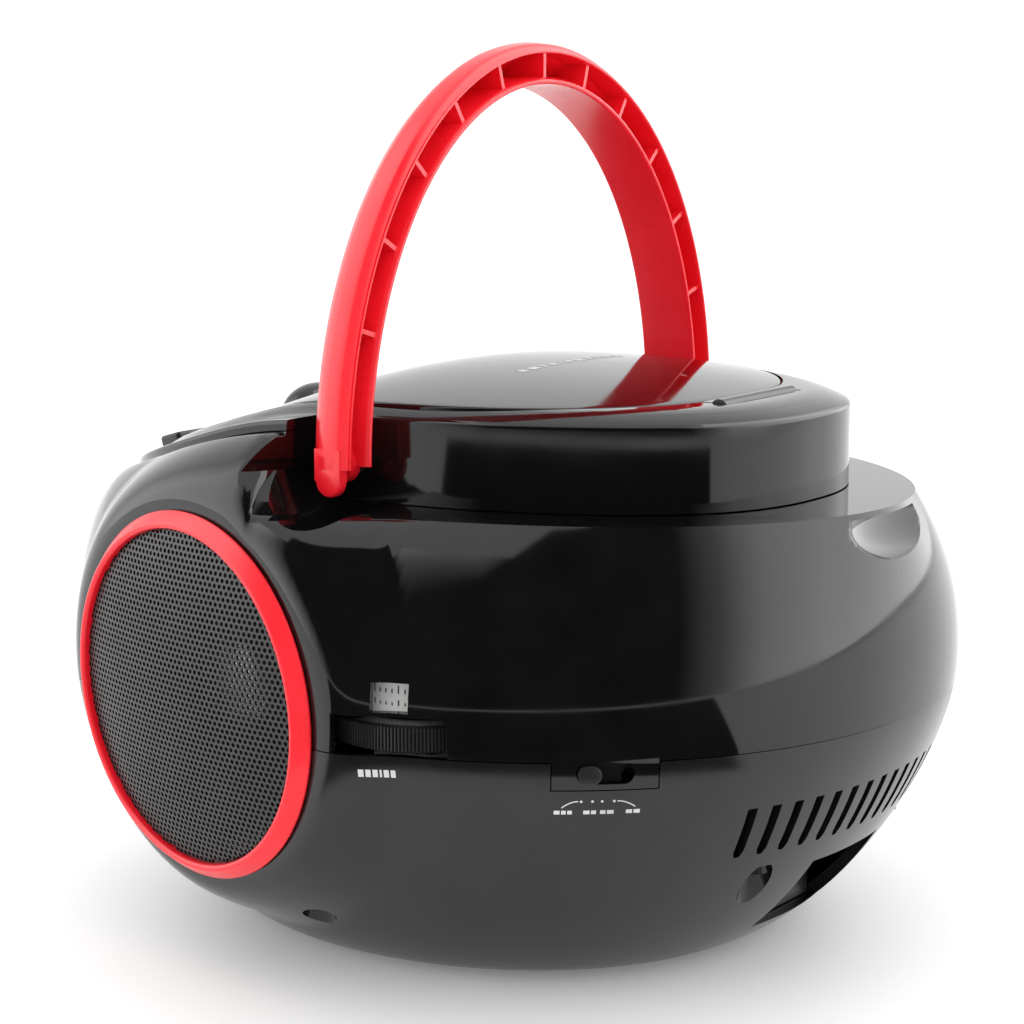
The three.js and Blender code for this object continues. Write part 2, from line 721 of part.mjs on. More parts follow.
function hingeTrough() {
  const side = HINGE_HALF_LENGTH + 0.6;
  const radius = HINGE_RADIUS + 0.6;
  const above = box(-side, side, LID_REAR - 4, HINGE_Y + radius, HINGE_Z - 0.8, 200);
  const pin = hingeAxis(HINGE_HALF_LENGTH + 5, HINGE_PIN_RADIUS + 0.05);
  return hingeAxis(side, radius).add(above).add(pin);
}

function cdLid() {
  const cover = prism(lidOutline, 100, 200).intersect(belowLid(0))
    .subtract(belowDeck(GAP - LID_SEAT));
  const hollow = prism(grow(lidOutline, -LID_WALL), 60, 200).intersect(belowLid(-LID_WALL));
  let lid = cover.subtract(hollow);
  const grip = new THREE.SphereGeometry(1, 18, 10);
  grip.scale(13, 7.5, 8.6);
  grip.translate(0, LID_FRONT, lidHeight(0, LID_FRONT));
  const gripSolid = toSolid(grip).subtract(belowLid(-1)).subtract(belowDeck(GAP + 0.2));
  lid = lid.add(gripSolid);
  const arm = box(
    -HINGE_HALF_LENGTH, HINGE_HALF_LENGTH, LID_REAR - 1.5, HINGE_Y, HINGE_Z - 0.2, HINGE_Z + 1.6,
  );
  lid = lid.add(hingeAxis(HINGE_HALF_LENGTH, HINGE_RADIUS)).add(arm);
  return lid.subtract(hingeAxis(HINGE_HALF_LENGTH + 5, HINGE_PIN_RADIUS + RUNNING_GAP));
}

// ---------------------------------------------------------------- handle

// Point of the handle's arch: `share` 0 is the right leg, 1 the left leg.
function archPoint(share, out, y) {
  const angle = share * Math.PI;
  return vec(
    (HANDLE_INNER_HALF_WIDTH + out) * Math.cos(angle),
    HANDLE_Y + y,
    HANDLE_Z + (HANDLE_INNER_HEIGHT + out) * Math.sin(angle),
  );
}

const ARCH_STEPS = 30;

// A band that follows the arch. `section` lists [out, y] points, `foot` extends the legs down.
function archBand(section, foot) {
  const rings = [];
  const legRing = (share, drop) => section.map(([out, y]) => {
    const point = archPoint(share, out, y);
    point.z -= drop;
    return point;
  });
  if (foot) rings.push(legRing(0, foot));
  for (let i = 0; i <= ARCH_STEPS; i += 1) rings.push(legRing(i / ARCH_STEPS, 0));
  if (foot) rings.push(legRing(1, foot));
  return loft(rings);
}

// Its outer face has a broad bevel along the front, and a channel with ribs opens to the rear.
function carryHandle() {
  const depth = HANDLE_HALF_DEPTH;
  const thick = HANDLE_THICKNESS;
  const crest = thick + HANDLE_CROWN;
  const bevel = -depth + HANDLE_BEVEL;
  const outer = archBand([
    [0, -depth], [2, -depth + 1], [thick - 0.4, bevel], [crest, bevel + 3.5],
    [crest - 0.6, depth - 3.4], [thick - 1.5, depth - 0.4], [0, depth],
  ], 0);
  const channelFront = -depth + 2 * HANDLE_WALL;
  const channelOut = thick - HANDLE_WALL + 0.6;
  const channel = archBand([
    [HANDLE_WALL, channelFront], [channelOut, bevel + 2], [channelOut, depth + 2], [HANDLE_WALL, depth + 2],
  ], 1);
  let handle = outer.subtract(channel);
  for (let i = 0; i < HANDLE_RIBS; i += 1) {
    const share = 0.5 + (i - (HANDLE_RIBS - 1) / 2) * HANDLE_RIB_PITCH;
    const middle = archPoint(share, thick / 2 - 0.4, 0);
    const tangent = archPoint(share + 0.01, thick / 2, 0).sub(archPoint(share - 0.01, thick / 2, 0));
    const plate = new THREE.BoxGeometry(thick - 2.6, 2 * depth - 1.2, 1.4);
    plate.rotateY(Math.atan2(tangent.x, tangent.z));
    plate.translate(middle.x, middle.y - 0.4, middle.z);
    handle = handle.add(toSolid(plate).intersect(outer));
  }
  for (const side of [-1, 1]) {
    handle = handle.add(handleTongue(side)).add(handleBoss(side)).subtract(pinBore(side));
  }
  return handle;
}

// Each leg's outer face runs on below the pivot to a rounded end.
function handleTongue(side) {
  const outside = HANDLE_INNER_HALF_WIDTH + HANDLE_THICKNESS + HANDLE_CROWN - GAP;
  const inside = outside - TONGUE_THICKNESS;
  const at = (x) => vec(side * x, HANDLE_Y + TONGUE_REAR, HANDLE_Z - TONGUE_DROP);
  const neck = sidedBox(
    side, inside, outside, TONGUE_REAR - TONGUE_RADIUS, TONGUE_REAR + TONGUE_RADIUS, -TONGUE_DROP, 5,
  );
  return rod(TONGUE_RADIUS, at(inside), at(outside), 20).add(neck);
}

function handleBoss(side) {
  const at = (x) => vec(side * (HANDLE_INNER_HALF_WIDTH + x), HANDLE_Y, HANDLE_Z + 0.5);
  return rod(HANDLE_PIN_RADIUS + 2.2, at(0.2), at(3.6), 16);
}

function pinBore(side) {
  const at = (x) => vec(side * (HANDLE_INNER_HALF_WIDTH + x), HANDLE_Y, HANDLE_Z);
  return rod(HANDLE_PIN_RADIUS + RUNNING_GAP, at(-2), at(HANDLE_PIN_DEPTH + GAP), 20);
}

// A box next to the handle's pivot, on one side of the case.
function sidedBox(side, x0, x1, y0, y1, z0, z1) {
  const low = Math.min(side * x0, side * x1);
  const high = Math.max(side * x0, side * x1);
  return box(low, high, HANDLE_Y + y0, HANDLE_Y + y1, HANDLE_Z + z0, HANDLE_Z + z1);
}

function handlePin(side) {
  const at = (x) => vec(side * x, HANDLE_Y, HANDLE_Z);
  const wall = DECK_HALF_WIDTH;
  const stem = rod(HANDLE_PIN_RADIUS - 1, at(wall - 6), at(wall + 2.5), 16);
  const shoulder = wall + 0.9;
  const reach = HANDLE_INNER_HALF_WIDTH + HANDLE_PIN_DEPTH;
  return stem.add(rod(HANDLE_PIN_RADIUS, at(shoulder), at(reach), 20));
}

// ---------------------------------------------------------------- loudspeakers

// A turned piece on a speaker's axis. Heights are measured outwards from its flat face.
function onSpeaker(side, profile, segments) {
  const { centre, normal } = speakerFrame(side);
  return turned(profile, segments, centre, normal);
}

function speakerRing(side) {
  const inner = RING_RADIUS - RING_WIDTH;
  const ring = onSpeaker(side, [
    [0, -5.5], [inner + 1.6, -5.5], [inner + 1.6, GAP], [RING_RADIUS, GAP],
    [RING_RADIUS - 0.4, 1.1], [inner + 1, RING_HEIGHT], [inner, RING_HEIGHT - 0.7], [0, RING_HEIGHT - 0.7],
  ], 40);
  return ring.subtract(onSpeaker(side, [[0, -8], [inner, -8], [inner, 8], [0, 8]], 40));
}

function grille(side) {
  const radius = RING_RADIUS - RING_WIDTH - GAP;
  const dome = (r) => GRILLE_EDGE + GRILLE_DOME * (1 - (r / radius) ** 2);
  const radii = [1, 0.75, 0.45];
  const outer = radii.map((share) => [share * radius, dome(share * radius)]);
  const inner = radii.map((share) => [share * (radius - 1.2), dome(share * radius) - 1.2]).reverse();
  const rim = [[radius, -2.5], [radius, GRILLE_EDGE]];
  return onSpeaker(side, [
    [0, dome(0) - 1.2], ...inner.slice(1), [radius - 1.2, -2.5], ...rim, ...outer.slice(1), [0, dome(0)],
  ], 32);
}

function speakerFrameBody(side) {
  const flange = RING_RADIUS - RING_WIDTH - 0.4;
  const cone = onSpeaker(side, [
    [0, -38], [MAGNET_RADIUS, -38], [MAGNET_RADIUS, -26], [18, -26], [18, -20], [flange - 5, -8],
    [flange, -7], [flange, -4.6], [0, -4.6],
  ], 24);
  const hollow = onSpeaker(side, [
    [0, -19], [15.5, -19], [flange - 6.5, -7.2], [flange - 4, -4], [0, -4],
  ], 24);
  return cone.subtract(hollow);
}

function speakerCone(side) {
  return onSpeaker(side, [
    [0, -18.4], [13.6, -18.4], [32.6, -6.9], [35.2, -3.6], [36.8, -3.2], [36.8, -2.4],
    [34.6, -2.4], [31.6, -6], [12.6, -17.6], [0, -17.6],
  ], 24);
}

function dustCap(side) {
  return onSpeaker(side, [
    [0, -17.2], [12.2, -17.2], [12.2, -16.4], [8.6, -12.6], [0, -11],
  ], 16);
}

// ---------------------------------------------------------------- wheels and switch

function wheelBase(side) {
  return vec(side * WHEEL_X, WHEEL_Y, WHEEL_Z);
}

function knurledWheel(side) {
  const shape = new THREE.Shape();
  const teeth = WHEEL_TEETH;
  for (let i = 0; i < 2 * teeth; i += 1) {
    const radius = i % 2 ? WHEEL_RADIUS : WHEEL_RADIUS - 0.5;
    const angle = (Math.PI * i) / teeth;
    const point = [radius * Math.cos(angle), radius * Math.sin(angle)];
    if (i === 0) shape.moveTo(...point);
    else shape.lineTo(...point);
  }
  const geometry = new THREE.ExtrudeGeometry(shape, { depth: WHEEL_THICKNESS, bevelEnabled: false });
  const base = wheelBase(side);
  geometry.translate(base.x, base.y, base.z);
  return toSolid(geometry).subtract(axleHole(base));
}

function axleHole(base) {
  return rod(3.15, base.clone().setZ(40), base.clone().setZ(120), 16);
}

function dialDrum() {
  const base = wheelBase(1);
  const from = base.clone().setZ(WHEEL_Z + WHEEL_THICKNESS + GAP);
  const drum = rod(DIAL_RADIUS, from, base.clone().setZ(DIAL_TOP_Z), 28);
  const hollow = rod(DIAL_RADIUS - 1.6, from.clone().setZ(from.z + 1.6), base.clone().setZ(120), 28);
  const hub = rod(5, from, base.clone().setZ(DIAL_TOP_Z - 2), 20);
  return drum.subtract(hollow).add(hub).subtract(axleHole(base));
}

function wheelAxle(side, topZ) {
  const base = wheelBase(side);
  return rod(3, base.clone().setZ(WHEEL_Z - 3), base.clone().setZ(topZ), 20);
}

// Tuning capacitor or volume control: a small box under each wheel, which holds the axle.
function wheelControl(side) {
  const base = wheelBase(side);
  const top = WHEEL_Z - 3 - GAP;
  return box(base.x - 9, base.x + 9, base.y - 9, base.y + 9, top - 14, top);
}

function switchKnob() {
  const length = SWITCH_SLOT_LENGTH - SWITCH_TRAVEL - 0.5;
  const centre = vec(SWITCH_X, SWITCH_Y, SWITCH_Z)
    .addScaledVector(switchAlong, -(SWITCH_SLOT_LENGTH - length) / 2 + 0.25);
  const knob = onFace(stadium(length, SWITCH_SLOT_HEIGHT - 0.5, 7), centre, switchNormal, 5.4);
  const foot = facingBox(
    centre.clone().addScaledVector(switchNormal, -7.4), switchNormal, 8, 2.2,
    SWITCH_Z - 4.4, SWITCH_Z + 4.4,
  );
  return knob.add(foot);
}

function switchBody() {
  const centre = vec(SWITCH_X, SWITCH_Y, 0).addScaledVector(switchNormal, -14.2);
  return facingBox(centre, switchNormal, 16, 4, SWITCH_Z - 6, SWITCH_Z + 2.4);
}

// ---------------------------------------------------------------- keys and display

const deckTilt = Math.atan(DECK_SLOPE);
const keyNormal = vec(0, -Math.sin(deckTilt), Math.cos(deckTilt));

// A block at one key's place, along the slope of the deck.
function keyBlock(index, clearance, up, down) {
  const x = (index - (KEY_COUNT - 1) / 2) * KEY_PITCH;
  const geometry = new THREE.BoxGeometry(KEY_WIDTH + 2 * clearance, KEY_DEPTH + 2 * clearance, up + down);
  geometry.translate(0, 0, (up - down) / 2);
  geometry.rotateX(deckTilt);
  geometry.translate(x, KEY_Y, deckHeight(0, KEY_Y));
  return toSolid(geometry);
}

const keyNames = ['program', 'skip_back', 'play_pause', 'skip_forward', 'stop'];

function frontKey(index) {
  const stem = keyBlock(index, 0, KEY_STAND, DECK_PLATE + KEY_PRESS + 1.5);
  const flange = keyBlock(index, 0.9, -DECK_PLATE - KEY_PRESS - 1, DECK_PLATE + KEY_PRESS + 2.6);
  return stem.add(flange);
}

function frontSkin(outer, inner) {
  return upperBody(outer).subtract(upperBody(inner));
}

function displayWindow() {
  return frontSkin(0.2, 1.7).intersect(displayHole(-GAP));
}

function displayModule() {
  return box(
    -DISPLAY_HALF_WIDTH - 3, DISPLAY_HALF_WIDTH + 3, -104, -98, DISPLAY_BOTTOM_Z - 2, DISPLAY_TOP_Z + 2,
  );
}

// ---------------------------------------------------------------- drive

const PLATE_TOP_Z = WELL_FLOOR_Z - WELL_WALL - 1;

function drivePlate() {
  let plate = box(-34, 34, WELL_Y - 30, WELL_Y + 62, PLATE_TOP_Z - 10, PLATE_TOP_Z - 8.4);
  plate = plate.subtract(rod(12.4, vec(0, WELL_Y, 90), vec(0, WELL_Y, 130), 32));
  return plate.subtract(box(-16, 16, WELL_Y + 13, WELL_Y + 58, 90, 130));
}

function spindleMotor() {
  const from = vec(0, WELL_Y, PLATE_TOP_Z - 16);
  return rod(12, from, vec(0, WELL_Y, PLATE_TOP_Z - 7), 32)
    .add(rod(1, from, vec(0, WELL_Y, HUB_TOP_Z - 3), 12));
}

function discHub() {
  const hub = turned([
    [0, 0], [13, 0], [13, 1.2], [HUB_RADIUS, 1.2], [HUB_RADIUS, 4], [HUB_RADIUS - 1.8, 6], [0, 6],
  ], 24, vec(0, WELL_Y, HUB_TOP_Z - 6), UP);
  return hub.subtract(rod(1.05, vec(0, WELL_Y, 110), vec(0, WELL_Y, HUB_TOP_Z - 2.9), 12));
}

const PICKUP_START_Y = WELL_Y + 24;
const GUIDE_X = 12;
const GUIDE_Z = PLATE_TOP_Z - 4;

function guideRod(side) {
  const at = (y) => vec(side * GUIDE_X, y, GUIDE_Z);
  return rod(1.5, at(WELL_Y + 14), at(WELL_Y + 60), 16);
}

function laserPickup() {
  const reach = GUIDE_X + 3.5;
  const rear = PICKUP_START_Y + 1;
  const lensY = PICKUP_START_Y - 3;
  let body = box(-reach, reach, rear - 8, rear, GUIDE_Z - 3, GUIDE_Z + 3);
  body = body.add(rod(4.2, vec(0, lensY, GUIDE_Z), vec(0, lensY, GUIDE_Z + 6), 24));
  for (const side of [-1, 1]) {
    const at = (y) => vec(side * GUIDE_X, y, GUIDE_Z);
    body = body.subtract(rod(1.5 + RUNNING_GAP, at(0), at(90), 16));
  }
  return body;
}

// ---------------------------------------------------------------- inside and underneath

function mainBoard() {
  return box(-58, 58, 52, 78, 92, 93.6);
}

function transformer() {
  const core = box(22, 52, 48, 70, 18, 46);
  return core.add(box(26, 48, 45.5, 74, 22, 42));
}

function ferriteAerial() {
  return rod(4.5, vec(-45, 84, 100), vec(45, 84, 100), 20);
}

function mainsInlet() {
  const half = INLET_HALF_WIDTH - GAP;
  const wall = box(-half, half, INLET_FACE_Y - 5, INLET_FACE_Y, INLET_BOTTOM_Z + GAP, INLET_TOP_Z - GAP);
  const socket = box(-12, 12, INLET_FACE_Y - 20, INLET_FACE_Y - 4, 15, 31);
  const lobe = (x) => rod(4.2, vec(x, INLET_FACE_Y - 14, 23), vec(x, INLET_FACE_Y + 5, 23), 20);
  const mouth = lobe(-4).add(lobe(4)).add(box(-4, 4, INLET_FACE_Y - 14, INLET_FACE_Y + 5, 19.4, 26.6));
  const contact = (x) => rod(1.2, vec(x, INLET_FACE_Y - 15, 23), vec(x, INLET_FACE_Y - 4, 23), 12);
  return wall.add(socket).subtract(mouth).add(contact(-4)).add(contact(4));
}

function batteryDoor() {
  const half = BAY_HALF_WIDTH - 0.5;
  const depth = BAY_HALF_DEPTH - 0.5;
  const plate = box(-half, half, -depth, depth, FOOT_HEIGHT + 0.2, FOOT_HEIGHT + 0.2 + DOOR_THICKNESS);
  const fingerGroove = box(-12, 12, depth - 8, depth - 3, 0, FOOT_HEIGHT + 1);
  return plate.subtract(fingerGroove);
}

function batteryContacts(side) {
  const x = side * (BAY_HALF_WIDTH - 0.8);
  let strip = box(x - 0.4, x + 0.4, -38, 38, 8, 30);
  for (const y of [-26, 0, 26]) {
    const tip = turned([[0, 0], [7, 0], [3.5, 5], [0, 5]], 20, vec(x, y, 18), vec(-side, 0, 0));
    strip = strip.add(tip);
  }
  return strip;
}

function foot(x, y) {
  return turned([
    [0, 0], [FOOT_RADIUS - 0.8, 0], [FOOT_RADIUS, 0.8], [FOOT_RADIUS, FOOT_HEIGHT - GAP],
    [0, FOOT_HEIGHT - GAP],
  ], 18, vec(x, y, 0), UP);
}

function caseScrew(x, y) {
  const head = rod(SCREW_HEAD_RADIUS, vec(x, y, SCREW_SEAT_Z - 2.4), vec(x, y, SCREW_SEAT_Z - GAP), 14);
  return head.add(rod(1.6, vec(x, y, SCREW_SEAT_Z - 1), vec(x, y, SCREW_SEAT_Z + 16), 10));
}

// ---------------------------------------------------------------- assembly

const player = new THREE.Group();

function addPiece(name, solid, material) {
  const mesh = new THREE.Mesh(toGeometry(solid), material);
  mesh.name = name;
  player.add(mesh);
}

addPiece('lower_shell', lowerShell(), satinBlack());
addPiece('upper_shell', upperShell(), glossBlack());
addPiece('top_deck', topDeck(), glossBlack());
addPiece('cd_lid', cdLid(), glossBlack());
addPiece('lid_hinge_pin', hingeAxis(HINGE_HALF_LENGTH + 4.8, HINGE_PIN_RADIUS), steel());
addPiece('carry_handle', carryHandle(), red());

for (const [label, side] of [['right', 1], ['left', -1]]) {
  addPiece(`handle_pivot_pin_${label}`, handlePin(side), steel());
  addPiece(`speaker_ring_${label}`, speakerRing(side), red());
  addPiece(`speaker_grille_${label}`, grille(side), darkPaint());
  addPiece(`speaker_frame_${label}`, speakerFrameBody(side), steel());
  addPiece(`speaker_cone_${label}`, speakerCone(side), paper());
  addPiece(`speaker_dust_cap_${label}`, dustCap(side), steel());
  addPiece(`battery_contacts_${label}`, batteryContacts(side), steel());
}

addPiece('tuning_wheel', knurledWheel(1), satinBlack());
addPiece('dial_drum', dialDrum(), white());
addPiece('tuning_axle', wheelAxle(1, DIAL_TOP_Z), steel());
addPiece('tuning_capacitor', wheelControl(1), white());
addPiece('volume_wheel', knurledWheel(-1), satinBlack());
addPiece('volume_axle', wheelAxle(-1, WHEEL_Z + WHEEL_THICKNESS + 2), steel());
addPiece('volume_control', wheelControl(-1), satinBlack());
addPiece('function_switch_knob', switchKnob(), satinBlack());
addPiece('function_switch_body', switchBody(), steel());

keyNames.forEach((name, i) => addPiece(`key_${name}`, frontKey(i), satinBlack()));
addPiece('display_window', displayWindow(), smoke());
addPiece('display_module', displayModule(), greenBoard());

addPiece('drive_plate', drivePlate(), steel());
addPiece('spindle_motor', spindleMotor(), steel());
addPiece('disc_hub', discHub(), satinBlack());
addPiece('laser_pickup', laserPickup(), satinBlack());
addPiece('guide_rod_right', guideRod(1), steel());
addPiece('guide_rod_left', guideRod(-1), steel());

addPiece('main_board', mainBoard(), greenBoard());
addPiece('transformer', transformer(), steel());
addPiece('ferrite_aerial', ferriteAerial(), ferrite());
addPiece('mains_inlet', mainsInlet(), satinBlack());
addPiece('battery_door', batteryDoor(), satinBlack());

[[1, 1], [-1, 1], [1, -1], [-1, -1]].forEach(([sx, sy], i) => {
  addPiece(`foot_${i + 1}`, foot(sx * FOOT_X, sy * FOOT_Y), rubber());
});
screwPlaces.forEach(([x, y], i) => addPiece(`case_screw_${i + 1}`, caseScrew(x, y), steel()));

export default player;
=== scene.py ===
"""Looks of a portable top-loading CD player with an AM/FM radio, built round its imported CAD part."""

import json
import math
from collections import namedtuple

import bmesh
import bpy
import numpy as np
from mathutils import Matrix, Vector
from mathutils.bvhtree import BVHTree


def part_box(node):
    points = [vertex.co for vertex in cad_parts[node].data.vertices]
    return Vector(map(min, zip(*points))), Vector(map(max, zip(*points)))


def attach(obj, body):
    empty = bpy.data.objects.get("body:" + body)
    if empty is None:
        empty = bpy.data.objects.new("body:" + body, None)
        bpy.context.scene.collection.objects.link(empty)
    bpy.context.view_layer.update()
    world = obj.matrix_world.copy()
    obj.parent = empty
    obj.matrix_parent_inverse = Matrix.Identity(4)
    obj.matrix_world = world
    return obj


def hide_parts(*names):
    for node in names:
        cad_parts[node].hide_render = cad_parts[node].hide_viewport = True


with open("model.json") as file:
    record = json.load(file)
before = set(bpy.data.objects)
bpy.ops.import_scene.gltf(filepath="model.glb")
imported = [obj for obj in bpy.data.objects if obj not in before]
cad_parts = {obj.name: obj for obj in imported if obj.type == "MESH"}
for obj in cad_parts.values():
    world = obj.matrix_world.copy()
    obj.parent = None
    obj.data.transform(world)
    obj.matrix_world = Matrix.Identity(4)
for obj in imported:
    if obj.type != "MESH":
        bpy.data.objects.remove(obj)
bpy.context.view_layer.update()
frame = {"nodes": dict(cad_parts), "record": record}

# ---------------------------------------------------------------- sizes, in millimetres

MM = 0.001

SHELL_WALL = 2.4
SEAM = 0.3                      # between pieces that touch
FOOT_HEIGHT = 2.5
PARTING_Z = 70.0
WIDEST_Z = 78.0
BASE_RATIO = 0.61
BASE_ROUNDNESS = 1.433
LEDGE_Z = 122.6

DECK_EDGE_Z = 144.7
DECK_SLOPE_START_Y = -15.0
DECK_SLOPE = 0.29
DECK_SLOPE_SOFTNESS = 8.0
DECK_LIP = 3.0
DECK_CROWN = 3.0
DECK_CROWN_BAND = 0.11
DECK_PLATE = 3.6
DECK_WALL = 2.4
DECK_SUPPORT = 5.0
DECK_EDGE_RADIUS = 1.1
LIP_EDGE_RADIUS = 1.1

LID_CROWN = 5.6
LID_WALL = 2.0
LID_SEAT = 1.7
LID_GAP = 0.5
LID_EDGE_RADIUS = 0.7
HINGE_Y = 79.3
HINGE_Z = 146.2
HINGE_HALF_LENGTH = 18.0
HINGE_RADIUS = 2.6
DECK_DRAFT = 0.8     # how much wider the deck's tower is at its foot

WELL_RADIUS = 62.0
WELL_Y = 5.0
WELL_FLOOR_Z = 122.6
WELL_WALL = 2.2
HUB_RADIUS = 7.4

HANDLE_Y = 5.0
HANDLE_Z = 133.0
HANDLE_INNER_HALF_WIDTH = 76.0
HANDLE_INNER_HEIGHT = 93.7
HANDLE_THICKNESS = 9.7
HANDLE_CROWN = 1.4
HANDLE_HALF_DEPTH = 9.0
HANDLE_WALL = 2.0
HANDLE_RIBS = 11
HANDLE_RIB_PITCH = 0.078          # share of the arch between two ribs
HANDLE_PIN_RADIUS = 3.0
HANDLE_PIN_DEPTH = 5.0
TONGUE_RADIUS = 4.0                # rounded end of each leg's outer face
TONGUE_DROP = 3.1
TONGUE_REAR = 3.0
NOTCH_RADIUS = 12.4
NOTCH_Y = HANDLE_Y - NOTCH_RADIUS

SPEAKER = (104.0, -22.0, 75.0)
SPEAKER_YAW = math.radians(11)
SPEAKER_PITCH = math.radians(-2)
RING_RADIUS = 47.3
RING_WIDTH = 4.2
RING_HEIGHT = 4.4
SPEAKER_HOLE_RADIUS = 45.2
POD_BLEND = 18.0
GRILLE_EDGE = 2.6
GRILLE_DOME = 5.0
GRILLE_SHEET = 0.6
GRILLE_PITCH = 1.72
GRILLE_HOLE_RADIUS = 0.57

WHEEL_RADIUS = 24.0
WHEEL_THICKNESS = 6.8
WHEEL_Z = 70.8
WHEEL_X = 84.8
WHEEL_Y = 36.8
WHEEL_TEETH = 170
WHEEL_SLOT_Z = 79.6
WHEEL_SLOT_HALF_LENGTH = 14.2
DIAL_RADIUS = 17.5
DIAL_TOP_Z = 90.0

SWITCH = (82.6, 88.7, 67.0)
SWITCH_SLOT_LENGTH = 13.9
SWITCH_SLOT_HEIGHT = 5.2
SWITCH_TRAVEL = 7.6
SWITCH_TAB_LENGTH = 25.5
SWITCH_TAB_BOTTOM_Z = 63.0

VENT_COUNT = 16
VENT_PITCH = 6.9
VENT_WIDTH = 2.8
VENT_DEPTH = 30.0
VENT_BOTTOM_Z = 40.4
VENT_TOP_Z = 54.5

INLET_HALF_WIDTH = 17.0
INLET_BOTTOM_Z = 12.0
INLET_TOP_Z = 33.0
INLET_FACE_Y = 88.0
BAY_HALF_WIDTH = 53.0
BAY_HALF_DEPTH = 42.0
BAY_TOP_Z = 33.0
FOOT_RADIUS = 7.0
SCREW_HOLE_RADIUS = 4.4
SCREW_PLACES = [(side * x, y) for x, y in ((90.5, 7), (34.6, 101.5), (56, -86)) for side in (1, -1)]

KEY_COUNT = 5
KEY_PITCH = 17.0
KEY_WIDTH = 13.5
KEY_DEPTH = 8.0
KEY_Y = -88.0
KEY_STAND = 2.2
KEY_PRESS = 1.4
DISPLAY_HALF_WIDTH = 25.0
DISPLAY_BOTTOM_Z = 86.0
DISPLAY_TOP_Z = 103.0

SCOOP_HALF_WIDTH = 30.0
SCOOP_HEIGHT = 12.0
SCOOP_REACH = 12.5
SCOOP_OUTSIDE = 9.0                # its middle lies this far behind the ledge's edge
SCOOP_LIP = 1.4

Outline = namedtuple("Outline", "half_width rear front widest_y roundness")
CASE = Outline(113.3, 126.0, -126.0, 0.0, 2.1)
CASE_FRONT_ROUNDNESS = 1.9
LEDGE = Outline(86.0, 117.8, -106.0, 0.0, 1.95)
DECK = Outline(70.5, 97.1, -103.0, -20.0, 2.35)
FRONT_DECK = Outline(84.0, 106.0, -106.0, 0.0, 2.3)
LID = Outline(66.0, 76.0, -68.0, 0.0, 2.2)

OUTLINE_POINTS = 360
ANGLES = np.arange(OUTLINE_POINTS) * 2 * math.pi / OUTLINE_POINTS

# ---------------------------------------------------------------- mesh helpers


def unit(vector):
    vector = np.array(vector, float)
    return vector / np.linalg.norm(vector)


def new_object(name, points, faces):
    """An object from points in millimetres."""
    mesh = bpy.data.meshes.new(name)
    mesh.from_pydata((np.array(points, float) * MM).tolist(), [], faces)
    piece = bpy.data.objects.new(name, mesh)
    bpy.context.scene.collection.objects.link(piece)
    return piece


def face_outwards(piece):
    work = bmesh.new()
    work.from_mesh(piece.data)
    bmesh.ops.recalc_face_normals(work, faces=work.faces)
    if work.calc_volume(signed=True) < 0:
        bmesh.ops.reverse_faces(work, faces=work.faces)
    work.to_mesh(piece.data)
    work.free()
    return piece


def loft(rings, name="loft", ends=True, closed=False):
    """A mesh through equal rings of points, with flat ends, or closed on itself."""
    rings = np.array(rings, float)
    levels, count, _ = rings.shape
    here = np.arange(count)
    following = (here + 1) % count
    faces = []
    steps = levels if closed else levels - 1
    for level in range(steps):
        a = level * count
        b = ((level + 1) % levels) * count
        faces += np.stack([a + here, a + following, b + following, b + here], 1).tolist()
    if ends and not closed:
        faces.append(here[::-1].tolist())
        faces.append((here + (levels - 1) * count).tolist())
    return face_outwards(new_object(name, rings.reshape(-1, 3), faces))


def box(x0, x1, y0, y1, z0, z1):
    ring = [(x0, y0), (x1, y0), (x1, y1), (x0, y1)]
    return loft([[(x, y, z) for x, y in ring] for z in (z0, z1)])


def frame_along(direction):
    """Two directions across the given one."""
    direction = unit(direction)
    helper = np.array([0.0, 0.0, 1.0]) if abs(direction[2]) < 0.9 else np.array([1.0, 0.0, 0.0])
    across = unit(np.cross(helper, direction))
    return across, np.cross(direction, across)


def turned(profile, origin, direction, segments=128, closed=False, name="turned"):
    """A turned piece: profile lists (radius, height) along the axis. Closed profiles make rings."""
    origin = np.array(origin, float)
    direction = unit(direction)
    across, up = frame_along(direction)
    angles = np.arange(segments) * 2 * math.pi / segments
    spoke = np.outer(np.cos(angles), across) + np.outer(np.sin(angles), up)
    rings = [origin + direction * height + spoke * radius for radius, height in profile]
    return loft(rings, name, closed=closed)


def rod(radius, start, end, segments=64):
    start = np.array(start, float)
    end = np.array(end, float)
    length = np.linalg.norm(end - start)
    return turned([(radius, 0), (radius, length)], start, end - start, segments)


def arc(centre, radius, start, end, steps):
    """Points of an arc in a profile. Angles are in degrees."""
    angles = np.radians(np.linspace(start, end, steps + 1))
    return [(centre[0] + radius * math.cos(a), centre[1] + radius * math.sin(a)) for a in angles]


def combine(target, tool, operation, keep=False):
    modifier = target.modifiers.new("combine", "BOOLEAN")
    modifier.object = tool
    modifier.operation = operation
    modifier.solver = "MANIFOLD"
    depsgraph = bpy.context.evaluated_depsgraph_get()
    result = bpy.data.meshes.new_from_object(target.evaluated_get(depsgraph))
    target.modifiers.clear()
    target.data = result
    if not keep:
        bpy.data.objects.remove(tool)
    return target


def cut(target, *tools):
    for tool in tools:
        combine(target, tool, "DIFFERENCE")
    return target


def join(target, *tools):
    for tool in tools:
        combine(target, tool, "UNION")
    return target


def overlap(target, *tools):
    for tool in tools:
        combine(target, tool, "INTERSECT")
    return target


